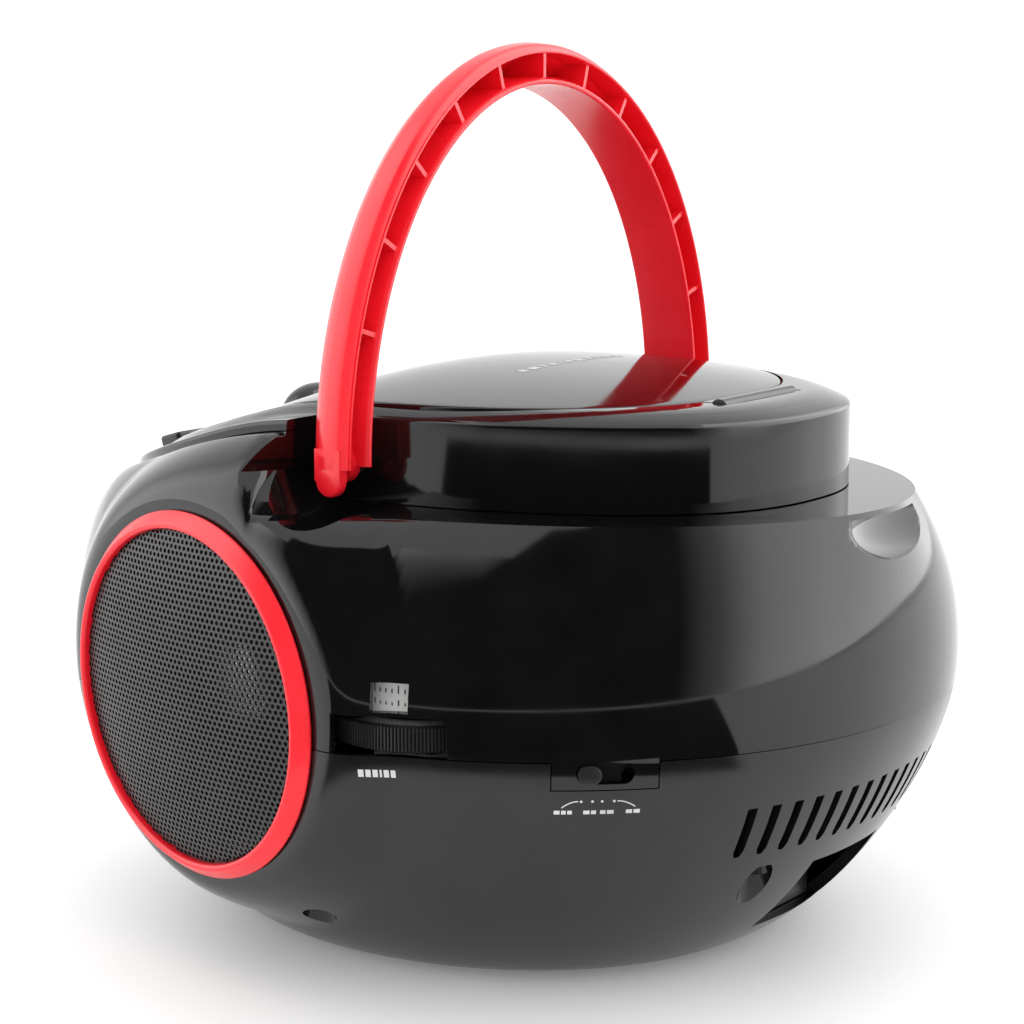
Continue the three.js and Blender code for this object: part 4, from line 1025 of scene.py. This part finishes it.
def switch_knob():
    """A stadium with a softened edge, on its hidden foot."""
    length = SWITCH_SLOT_LENGTH - SWITCH_TRAVEL - 0.5
    height = SWITCH_SLOT_HEIGHT - 0.5
    shift = -(SWITCH_SLOT_LENGTH - length) / 2 + 0.25
    centre = np.array(SWITCH) + SWITCH_ALONG * shift
    rings = []
    for inset, out in ((0, -5.4), (0, 0.1), (0.12, 0.4), (0.4, 0.55)):
        points = stadium_points(length - 2 * inset, height - 2 * inset)
        rings.append(upright(points, centre, SWITCH_NORMAL, out))
    knob = loft(rings)
    foot_centre = centre - SWITCH_NORMAL * 7.4
    return join(knob, facing_box(foot_centre, SWITCH_NORMAL, 8, 2.2, SWITCH[2] - 4.4, SWITCH[2] + 4.4))


# ---------------------------------------------------------------- underneath


def battery_door():
    """Door with a finger groove and shallow grip ribs."""
    half = BAY_HALF_WIDTH - 0.5
    depth = BAY_HALF_DEPTH - 0.5
    low = FOOT_HEIGHT + 0.2
    door = loft([
        stack(*(rounded_rectangle(half - inset, depth - inset, 2).T), z)
        for inset, z in ((0.4, low), (0, low + 0.4), (0, low + 2.2))
    ])
    cut(door, box(-12, 12, depth - 8, depth - 3, 0, FOOT_HEIGHT + 1))
    ribs = [box(-9, 9, depth - 16 - 3 * i, depth - 15 - 3 * i, 0, low + 0.4) for i in range(3)]
    return cut(door, together(ribs, "grooves"))


def rubber_foot(x, y):
    profile = [(FOOT_RADIUS - 1.2, 0), (FOOT_RADIUS - 0.4, 0.2), (FOOT_RADIUS, 0.9)]
    profile += [(FOOT_RADIUS, FOOT_HEIGHT - SEAM)]
    return turned([(1.5, 0.5), (4.2, 0.5), (4.6, 0), *profile], (x, y, 0), UP, 64)


# ---------------------------------------------------------------- printed marks

PRINT_LIFT = 0.02
PRINT_THICKNESS = 0.05


def surface_tree(piece):
    depsgraph = bpy.context.evaluated_depsgraph_get()
    return BVHTree.FromObject(piece, depsgraph)


def strip(points, width):
    """Outline pairs on both sides of a line through (u, v) points."""
    points = np.array(points, float)
    direction = np.gradient(points, axis=0)
    direction /= np.linalg.norm(direction, axis=1)[:, None]
    side = np.stack([-direction[:, 1], direction[:, 0]], 1) * width / 2
    return points - side, points + side


def line(start, end, steps=8):
    return [tuple(p) for p in np.linspace(start, end, steps + 1)]


def dot(u, v, radius):
    """A round dot as a line across it, whose width follows the circle."""
    angles = np.linspace(-0.96 * math.pi / 2, 0.96 * math.pi / 2, 11)
    low = np.array([(u + radius * math.sin(a), v - radius * math.cos(a)) for a in angles])
    high = np.array([(u + radius * math.sin(a), v + radius * math.cos(a)) for a in angles])
    return low, high


def printed(pairs, to_space, look, tree):
    """Thin raised ink: each pair of lines is set on the surface found along `look`."""
    points = []
    faces = []
    look = Vector(look).normalized()
    for low, high in pairs:
        start = len(points)
        for pair in zip(low, high):
            for u, v in pair:
                origin = Vector(to_space(u, v)) * MM
                hit, normal, _, _ = tree.ray_cast(origin - look * 0.03, look)
                if hit is None:
                    continue
                if normal.dot(look) > 0:
                    normal = -normal
                for lift in (PRINT_LIFT, PRINT_LIFT + PRINT_THICKNESS):
                    points.append(np.array(hit) / MM + np.array(normal) * lift)
        count = (len(points) - start) // 4
        for k in range(count - 1):
            a = start + 4 * k
            b = a + 4
            faces += [
                [a + 1, b + 1, b + 3, a + 3], [a, a + 2, b + 2, b],
                [a, b, b + 1, a + 1], [a + 2, a + 3, b + 3, b + 2],
            ]
        end = start + 4 * (count - 1)
        faces += [[start, start + 1, start + 3, start + 2], [end, end + 2, end + 3, end + 1]]
    return face_outwards(new_object("print", points, faces))


def bars(u, v, widths, height, gap):
    """A row of short bars, in place of a word."""
    pairs = []
    for width in widths:
        pairs.append(strip(line((u, v), (u + width, v)), height))
        u += width + gap
    return pairs


def switch_marks(tree):
    """Four dots, two curved leaders and short bars under the switch."""
    pairs = [dot(u, 0, 0.33) for u in (-5.6, -2.9, -0.6, 2.3)]
    left = [(-6.3 - 3.9 * t, 0.05 - 1.7 * t * t) for t in np.linspace(0, 1, 9)]
    right = [(3.0 + 4.4 * t, 0.05 - 1.7 * t * t) for t in np.linspace(0, 1, 9)]
    pairs += [strip(left[::-1], 0.28), strip(right, 0.28)]
    pairs += bars(-12.0, -2.9, (1.4, 1.1, 1.1), 1.0, 0.35)
    pairs += bars(-5.0, -2.9, (1.5, 1.2), 1.0, 0.35)
    pairs += bars(-1.0, -2.9, (1.3, 1.6), 1.0, 0.35)
    pairs += bars(5.2, -2.9, (1.5, 1.5), 1.0, 0.35)
    centre = np.array([SWITCH[0], SWITCH[1], 60.0])

    def to_space(u, v):
        return centre + SWITCH_ALONG * u + UP * v

    return printed(pairs, to_space, -SWITCH_NORMAL, tree)


def wheel_marks(side, tree):
    """Short bars under a wheel."""
    pairs = bars(-4.45, 0, (1.3, 1.2, 1.2, 0.5, 1.2, 1.2), 1.9, 0.45)
    normal = wheel_normal(side)
    along = np.array([-normal[1], normal[0], 0.0])
    base = wheel_base(side) + normal * WHEEL_RADIUS
    centre = np.array([base[0], base[1], 65.3]) - along * 3.4 * side

    def to_space(u, v):
        return centre + along * u + UP * v

    return printed(pairs, to_space, -normal, tree)


def lid_marks(tree):
    """A row of short bars across the rear of the lid."""
    pairs = bars(-23, 0, (3.2, 4.1, 2.2, 3.6, 1.4, 2.6, 4.0, 3.0, 2.2, 3.4, 2.8), 2.6, 1.5)

    def to_space(u, v):
        return np.array([-u, 21.0 - v, 165.0])

    return printed(pairs, to_space, (0, 0, -1), tree)


def drum_marks():
    """Scale ticks round the dial drum."""
    base = wheel_base(1)
    normal = wheel_normal(1)
    start = math.atan2(normal[1], normal[0])
    pairs = []
    for step in range(-16, 17):
        angle = step * 5.5
        tall = 2.0 if step % 4 == 0 else 1.1
        pairs.append(strip(line((angle, -0.4), (angle, tall - 0.4), 2), 1.1))
        pairs.append(strip(line((angle, -3.4), (angle, tall * 0.7 - 3.4), 2), 1.1))

    def to_space(u, v):
        turn = start + math.radians(u)
        return np.array([base[0] + 20 * math.cos(turn), base[1] + 20 * math.sin(turn), 84.2 + v])

    return cylinder_print(pairs, to_space, base)


def cylinder_print(pairs, to_space, base):
    """Thin ink round an upright cylinder."""
    points = []
    faces = []
    for low, high in pairs:
        start = len(points)
        for pair in zip(low, high):
            for u, v in pair:
                p = to_space(u, v)
                out = unit([p[0] - base[0], p[1] - base[1], 0])
                for lift in (PRINT_LIFT, PRINT_LIFT + PRINT_THICKNESS):
                    points.append(np.array([base[0], base[1], p[2]]) + out * (DIAL_RADIUS + lift))
        count = (len(points) - start) // 4
        for k in range(count - 1):
            a = start + 4 * k
            b = a + 4
            faces += [
                [a + 1, b + 1, b + 3, a + 3], [a, a + 2, b + 2, b],
                [a, b, b + 1, a + 1], [a + 2, a + 3, b + 3, b + 2],
            ]
        end = start + 4 * (count - 1)
        faces += [[start, start + 1, start + 3, start + 2], [end, end + 2, end + 3, end + 1]]
    return face_outwards(new_object("print", points, faces))


# ---------------------------------------------------------------- materials


def shader(name, colour, roughness, metallic=0.0):
    material = bpy.data.materials.new(name)
    material.use_nodes = True
    principled = material.node_tree.nodes["Principled BSDF"]
    principled.inputs["Base Color"].default_value = (*colour, 1)
    principled.inputs["Roughness"].default_value = roughness
    principled.inputs["Metallic"].default_value = metallic
    return material, material.node_tree, principled


def noise(tree, size_mm, detail=3.0, stretch=(1, 1, 1)):
    """Noise whose features are about size_mm across, on the object's own coordinates."""
    nodes = tree.nodes
    coordinates = nodes.new("ShaderNodeTexCoord")
    mapping = nodes.new("ShaderNodeMapping")
    mapping.inputs["Scale"].default_value = stretch
    texture = nodes.new("ShaderNodeTexNoise")
    texture.inputs["Scale"].default_value = 1 / (size_mm * MM)
    texture.inputs["Detail"].default_value = detail
    tree.links.new(coordinates.outputs["Object"], mapping.inputs["Vector"])
    tree.links.new(mapping.outputs["Vector"], texture.inputs["Vector"])
    return texture.outputs["Fac"]


def spread(tree, value, low, high):
    """Maps the middle of a noise to a range."""
    node = tree.nodes.new("ShaderNodeMapRange")
    node.inputs["From Min"].default_value = 0.3
    node.inputs["From Max"].default_value = 0.7
    node.inputs["To Min"].default_value = low
    node.inputs["To Max"].default_value = high
    tree.links.new(value, node.inputs["Value"])
    return node.outputs["Result"]


def two_tone(tree, value, first, second, principled):
    """Base colour that drifts between two tones."""
    ramp = tree.nodes.new("ShaderNodeValToRGB")
    ramp.color_ramp.elements[0].position = 0.32
    ramp.color_ramp.elements[1].position = 0.68
    ramp.color_ramp.elements[0].color = (*first, 1)
    ramp.color_ramp.elements[1].color = (*second, 1)
    tree.links.new(value, ramp.inputs["Fac"])
    tree.links.new(ramp.outputs["Color"], principled.inputs["Base Color"])


def bump(tree, layers, principled):
    """Stacks bumps: each layer is (height, depth in millimetres)."""
    normal = None
    for height, depth_mm in layers:
        node = tree.nodes.new("ShaderNodeBump")
        node.inputs["Strength"].default_value = 1.0
        node.inputs["Distance"].default_value = depth_mm * MM
        tree.links.new(height, node.inputs["Height"])
        if normal is not None:
            tree.links.new(normal, node.inputs["Normal"])
        normal = node.outputs["Normal"]
    tree.links.new(normal, principled.inputs["Normal"])


def moulded(name, first, second, roughness, grain_mm, grain_depth, wave_depth=0.0):
    """Moulded plastic: faint tone drift, smudged gloss, fine grain, and flow waves."""
    material, tree, principled = shader(name, first, roughness[0])
    two_tone(tree, noise(tree, 14.0), first, second, principled)
    smudge = noise(tree, 22.0, 5.0, (1, 1, 0.5))
    tree.links.new(spread(tree, smudge, *roughness), principled.inputs["Roughness"])
    layers = [(noise(tree, grain_mm, 2.0), grain_depth)]
    if wave_depth:
        layers.append((noise(tree, 26.0, 0.0), wave_depth))
    bump(tree, layers, principled)
    return material


def metal(name, first, second, roughness, brushed=(1, 1, 1), grain_mm=0.3, grain_depth=0.004):
    material, tree, principled = shader(name, first, roughness[0], 1.0)
    two_tone(tree, noise(tree, 6.0, 4.0, brushed), first, second, principled)
    tree.links.new(spread(tree, noise(tree, 3.0, 4.0, brushed), *roughness), principled.inputs["Roughness"])
    bump(tree, [(noise(tree, grain_mm, 2.0, brushed), grain_depth)], principled)
    return material


def gloss_black():
    dark = (0.0035, 0.0035, 0.0036)
    return moulded("gloss_black", dark, (0.005, 0.005, 0.0052), (0.045, 0.1), 0.5, 0.0003, 0.01)


def shell_black():
    dark = (0.006, 0.006, 0.0062)
    return moulded("shell_black", dark, (0.0085, 0.0085, 0.0088), (0.14, 0.24), 0.35, 0.001, 0.01)


def satin_black():
    return moulded("satin_black", (0.008, 0.008, 0.0085), (0.013, 0.013, 0.0135), (0.32, 0.45), 0.25, 0.006)


def red_plastic():
    material = moulded("red_plastic", (0.86, 0.009, 0.02), (0.92, 0.013, 0.026), (0.2, 0.3), 0.5, 0.001, 0.02)
    principled = material.node_tree.nodes["Principled BSDF"]
    principled.inputs["Subsurface Weight"].default_value = 0.06
    principled.inputs["Subsurface Radius"].default_value = (0.003, 0.0006, 0.0006)
    principled.inputs["Subsurface Scale"].default_value = 1.0
    return material


def grille_paint():
    return moulded("grille_paint", (0.012, 0.012, 0.013), (0.02, 0.02, 0.021), (0.3, 0.42), 0.15, 0.008)


def cone_paper():
    return moulded("cone_paper", (0.012, 0.012, 0.012), (0.03, 0.029, 0.028), (0.75, 0.95), 0.4, 0.05)


def cap_silver():
    return metal("dust_cap_silver", (0.72, 0.73, 0.74), (0.86, 0.86, 0.87), (0.3, 0.42))


def bright_steel():
    return metal("steel", (0.52, 0.52, 0.53), (0.66, 0.66, 0.67), (0.22, 0.38), (1, 1, 6))


def black_screw():
    return metal("black_screw", (0.02, 0.02, 0.021), (0.035, 0.035, 0.036), (0.3, 0.45))


def rubber():
    return moulded("rubber", (0.012, 0.012, 0.012), (0.022, 0.022, 0.022), (0.7, 0.9), 0.3, 0.02)


def white_plastic():
    return moulded("white_plastic", (0.72, 0.72, 0.7), (0.8, 0.8, 0.78), (0.35, 0.45), 0.3, 0.002)


def board_green():
    return moulded("board", (0.01, 0.09, 0.03), (0.02, 0.14, 0.05), (0.3, 0.5), 1.2, 0.03)


def ferrite():
    return moulded("ferrite", (0.03, 0.026, 0.024), (0.05, 0.045, 0.04), (0.55, 0.75), 0.4, 0.02)


def smoke_window():
    material, tree, principled = shader("smoke_window", (0.01, 0.012, 0.014), 0.04)
    two_tone(tree, noise(tree, 30.0), (0.008, 0.01, 0.012), (0.014, 0.016, 0.018), principled)
    tree.links.new(spread(tree, noise(tree, 18.0, 4.0), 0.02, 0.07), principled.inputs["Roughness"])
    principled.inputs["Coat Weight"].default_value = 0.5
    return material


def ink():
    return moulded("ink", (0.5, 0.5, 0.5), (0.66, 0.66, 0.66), (0.45, 0.6), 0.2, 0.002)


def dark_ink():
    return moulded("dark_ink", (0.02, 0.02, 0.02), (0.035, 0.035, 0.035), (0.5, 0.65), 0.2, 0.002)


MATERIALS = {
    "shell_black": shell_black(),
    "gloss_black": gloss_black(),
    "red": red_plastic(),
    "grille_paint": grille_paint(),
    "steel": bright_steel(),
    "black_screw": black_screw(),
    "cone_paper": cone_paper(),
    "dust_cap_silver": cap_silver(),
    "rubber": rubber(),
    "black_plastic": satin_black(),
    "white_plastic": white_plastic(),
    "board": board_green(),
    "ferrite": ferrite(),
    "smoke_window": smoke_window(),
    "ink": ink(),
    "dark_ink": dark_ink(),
}

# ---------------------------------------------------------------- the pieces


def put(piece, name, body, slot, replaces=(), finish=None, crease=32):
    return place(piece, name, body, MATERIALS[finish or slot], slot, replaces, crease)


def build_case():
    shell = put(lower_shell(), "lower_shell_look", "case", "shell_black", ["lower_shell"])
    put(upper_shell(), "upper_shell_look", "case", "gloss_black", ["upper_shell"])
    put(top_deck(), "top_deck_look", "case", "gloss_black", ["top_deck"])
    put(display_window(), "display_window_look", "case", "smoke_window", ["display_window"])
    lower_tree = surface_tree(shell)
    put(switch_marks(lower_tree), "switch_marks", "case", "white_plastic", finish="ink")
    for side, label in ((1, "right"), (-1, "left")):
        put(wheel_marks(side, lower_tree), f"wheel_marks_{label}", "case", "white_plastic", finish="ink")


def build_lid():
    lid = put(cd_lid(), "cd_lid_look", "lid", "gloss_black", ["cd_lid"])
    put(lid_marks(surface_tree(lid)), "lid_marks", "lid", "white_plastic", finish="ink")


def build_speakers():
    for side, label in ((1, "right"), (-1, "left")):
        parts = (
            (speaker_ring(side), "speaker_ring", "red"),
            (grille(side), "speaker_grille", "grille_paint"),
            (speaker_cone(side), "speaker_cone", "cone_paper"),
            (dust_cap(side), "speaker_dust_cap", "dust_cap_silver"),
        )
        for piece, name, slot in parts:
            put(piece, f"{name}_{label}_look", "case", slot, [f"{name}_{label}"])


def build_controls():
    put(knurled_wheel(1), "tuning_wheel_look", "tuning", "black_plastic", ["tuning_wheel"])
    put(dial_drum(), "dial_drum_look", "tuning", "white_plastic", ["dial_drum"])
    put(drum_marks(), "dial_marks", "tuning", "black_plastic", finish="dark_ink")
    put(knurled_wheel(-1), "volume_wheel_look", "volume", "black_plastic", ["volume_wheel"])
    put(switch_knob(), "switch_knob_look", "function_switch", "black_plastic", ["function_switch_knob"])
    names = ("program", "skip_back", "play_pause", "skip_forward", "stop")
    for index, name in enumerate(names):
        put(key_cap(index), f"key_{name}_look", f"key_{name}_cap", "black_plastic", [f"key_{name}"])


def build_underside():
    put(battery_door(), "battery_door_look", "battery_cover", "black_plastic", ["battery_door"])
    for index in range(4):
        name = f"foot_{index + 1}"
        low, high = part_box(name)
        middle = (low + high) / 2 / MM
        put(rubber_foot(middle.x, middle.y), f"{name}_look", "case", "rubber", [name])


def dress_cad_nodes():
    """Gives every CAD node that still shows the finish of its slot."""
    for part in frame["record"]["subparts"]:
        node = frame["nodes"][part["node"]]
        node.data.materials.clear()
        finish = "black_screw" if part["node"].startswith("case_screw") else part["material_slot"]
        node.data.materials.append(MATERIALS[finish])


# ---------------------------------------------------------------- stage, light and camera

CAMERA_PLACE = (576.8, 416.4, 231.9)
CAMERA_FORWARD = (-0.8004, -0.5749, -0.1696)
CAMERA_UP = (-0.1377, -0.0989, 0.9855)
LENS = 91.4
SENSOR = 36.0

WORLD_LIGHT = 1.3
FLOOR_LIFT = 0.14     # a little glow keeps the floor white, as in the photo
WALL_RADIUS = 1900.0
FLOOR_CARD = (205.0, -12.0, 76.0)   # inner radius, and azimuths
WALL_GLOW = (                       # azimuth and brightness
    (66, 0.0), (78, 0.9), (90, 2.6), (110, 3.6), (170, 3.4), (190, 1.2),
    (265, 1.2), (285, 2.6), (325, 2.8), (340, 1.6), (356, 0.0),
)


def floor_material():
    material, tree, principled = shader("floor", (0.95, 0.95, 0.95), 0.6)
    two_tone(tree, noise(tree, 400.0), (0.94, 0.94, 0.94), (0.96, 0.96, 0.96), principled)
    principled.inputs["Emission Color"].default_value = (1, 1, 1, 1)
    principled.inputs["Emission Strength"].default_value = FLOOR_LIFT
    return material


def add_floor():
    radii = (0, 60, 150, 300, 700, 1500, 3000, 6000)
    profile = [(radius, 0) for radius in radii[1:]]
    angles = np.arange(96) * 2 * math.pi / 96
    points = [(0, 0, 0)]
    faces = []
    for radius, height in profile:
        points += [(radius * math.cos(a), radius * math.sin(a), height) for a in angles]
    for k in range(96):
        faces.append([0, 1 + k, 1 + (k + 1) % 96])
    for ring in range(len(profile) - 1):
        for k in range(96):
            a = 1 + ring * 96 + k
            b = 1 + ring * 96 + (k + 1) % 96
            faces.append([a, a + 96, b + 96, b])
    floor = new_object("floor", points, faces)
    floor.data.materials.append(floor_material())


def hide_from_camera(piece):
    """Leaves a piece to reflections alone."""
    piece.visible_camera = False
    piece.visible_diffuse = False
    piece.visible_shadow = False


def curved_wall(name, start, end, low, high):
    """A wall round the stage between two azimuths and two elevations. Azimuth 0 is +X and 90 is +Y."""
    levels = np.radians(np.linspace(low, high, 12))
    turns = np.radians(np.linspace(start, end, 97))
    points = []
    for level in levels:
        flat = WALL_RADIUS * np.cos(level)
        points.append(stack(flat * np.cos(turns), flat * np.sin(turns), WALL_RADIUS * np.sin(level)))
    count = len(turns)
    faces = []
    for row in range(len(levels) - 1):
        for k in range(count - 1):
            a = row * count + k
            faces.append([a, a + 1, a + count + 1, a + count])
    wall = new_object(name, np.concatenate(points), faces)
    hide_from_camera(wall)
    return wall, np.tile(np.degrees(turns), len(levels))


def add_light_wall():
    """A bright wall for the gloss to reflect. Its ends fade out beside the dark card."""
    azimuths = [azimuth for azimuth, _ in WALL_GLOW]
    wall, turns = curved_wall("light_wall", azimuths[0], azimuths[-1], 1, 70)
    glow = wall.data.attributes.new("glow", "FLOAT", "POINT")
    glow.data.foreach_set("value", np.interp(turns, azimuths, [level for _, level in WALL_GLOW]))
    material, tree, principled = shader("light_wall", (0, 0, 0), 1.0)
    principled.inputs["Specular IOR Level"].default_value = 0.0
    principled.inputs["Emission Color"].default_value = (1, 1, 1, 1)
    level = tree.nodes.new("ShaderNodeAttribute")
    level.attribute_name = "glow"
    tree.links.new(level.outputs["Fac"], principled.inputs["Emission Strength"])
    wall.data.materials.append(material)


def add_dark_card():
    """A black card on the camera's side, which keeps the glossy case dark there."""
    card, _ = curved_wall("dark_card", WALL_GLOW[-1][0] - 360, WALL_GLOW[0][0], 1, 78)
    material, tree, principled = shader("card_black", (0.004, 0.004, 0.004), 1.0)
    two_tone(tree, noise(tree, 300.0), (0.003, 0.003, 0.003), (0.005, 0.005, 0.005), principled)
    principled.inputs["Specular IOR Level"].default_value = 0.0
    card.data.materials.append(material)


def add_floor_card():
    """A black card in front of the camera's side of the case. Only the gloss reflects it."""
    inner, start, end = FLOOR_CARD
    turns = np.radians(np.linspace(start, end, 33))
    radii = np.geomspace(inner, WALL_RADIUS, 9)
    points = [stack(radius * np.cos(turns), radius * np.sin(turns), 1.5) for radius in radii]
    count = len(turns)
    faces = []
    for row in range(len(radii) - 1):
        for k in range(count - 1):
            a = row * count + k
            faces.append([a, a + 1, a + count + 1, a + count])
    card = new_object("floor_card", np.concatenate(points), faces)
    card.data.materials.append(bpy.data.materials["card_black"])
    hide_from_camera(card)


def light_scene():
    world = bpy.data.worlds.new("studio")
    bpy.context.scene.world = world
    world.use_nodes = True
    background = world.node_tree.nodes["Background"]
    background.inputs["Color"].default_value = (1, 1, 1, 1)
    background.inputs["Strength"].default_value = WORLD_LIGHT
    add_light_wall()
    add_dark_card()
    add_floor_card()


def add_camera():
    data = bpy.data.cameras.new("camera")
    data.lens = LENS
    data.sensor_width = SENSOR
    data.clip_start = 0.01
    data.clip_end = 50
    camera = bpy.data.objects.new("camera", data)
    bpy.context.scene.collection.objects.link(camera)
    forward = Vector(unit(CAMERA_FORWARD))
    up = Vector(unit(CAMERA_UP))
    right = forward.cross(up).normalized()
    up = right.cross(forward)
    turn = Matrix((right, up, -forward)).transposed()
    camera.matrix_world = Matrix.Translation(Vector(CAMERA_PLACE) * MM) @ turn.to_4x4()
    bpy.context.scene.camera = camera


build_case()
build_lid()
put(carry_handle(), "carry_handle_look", "handle", "red", ["carry_handle"])
build_speakers()
build_controls()
build_underside()
dress_cad_nodes()
add_floor()
light_scene()
add_camera()
bpy.context.scene.view_settings.view_transform = "Standard"
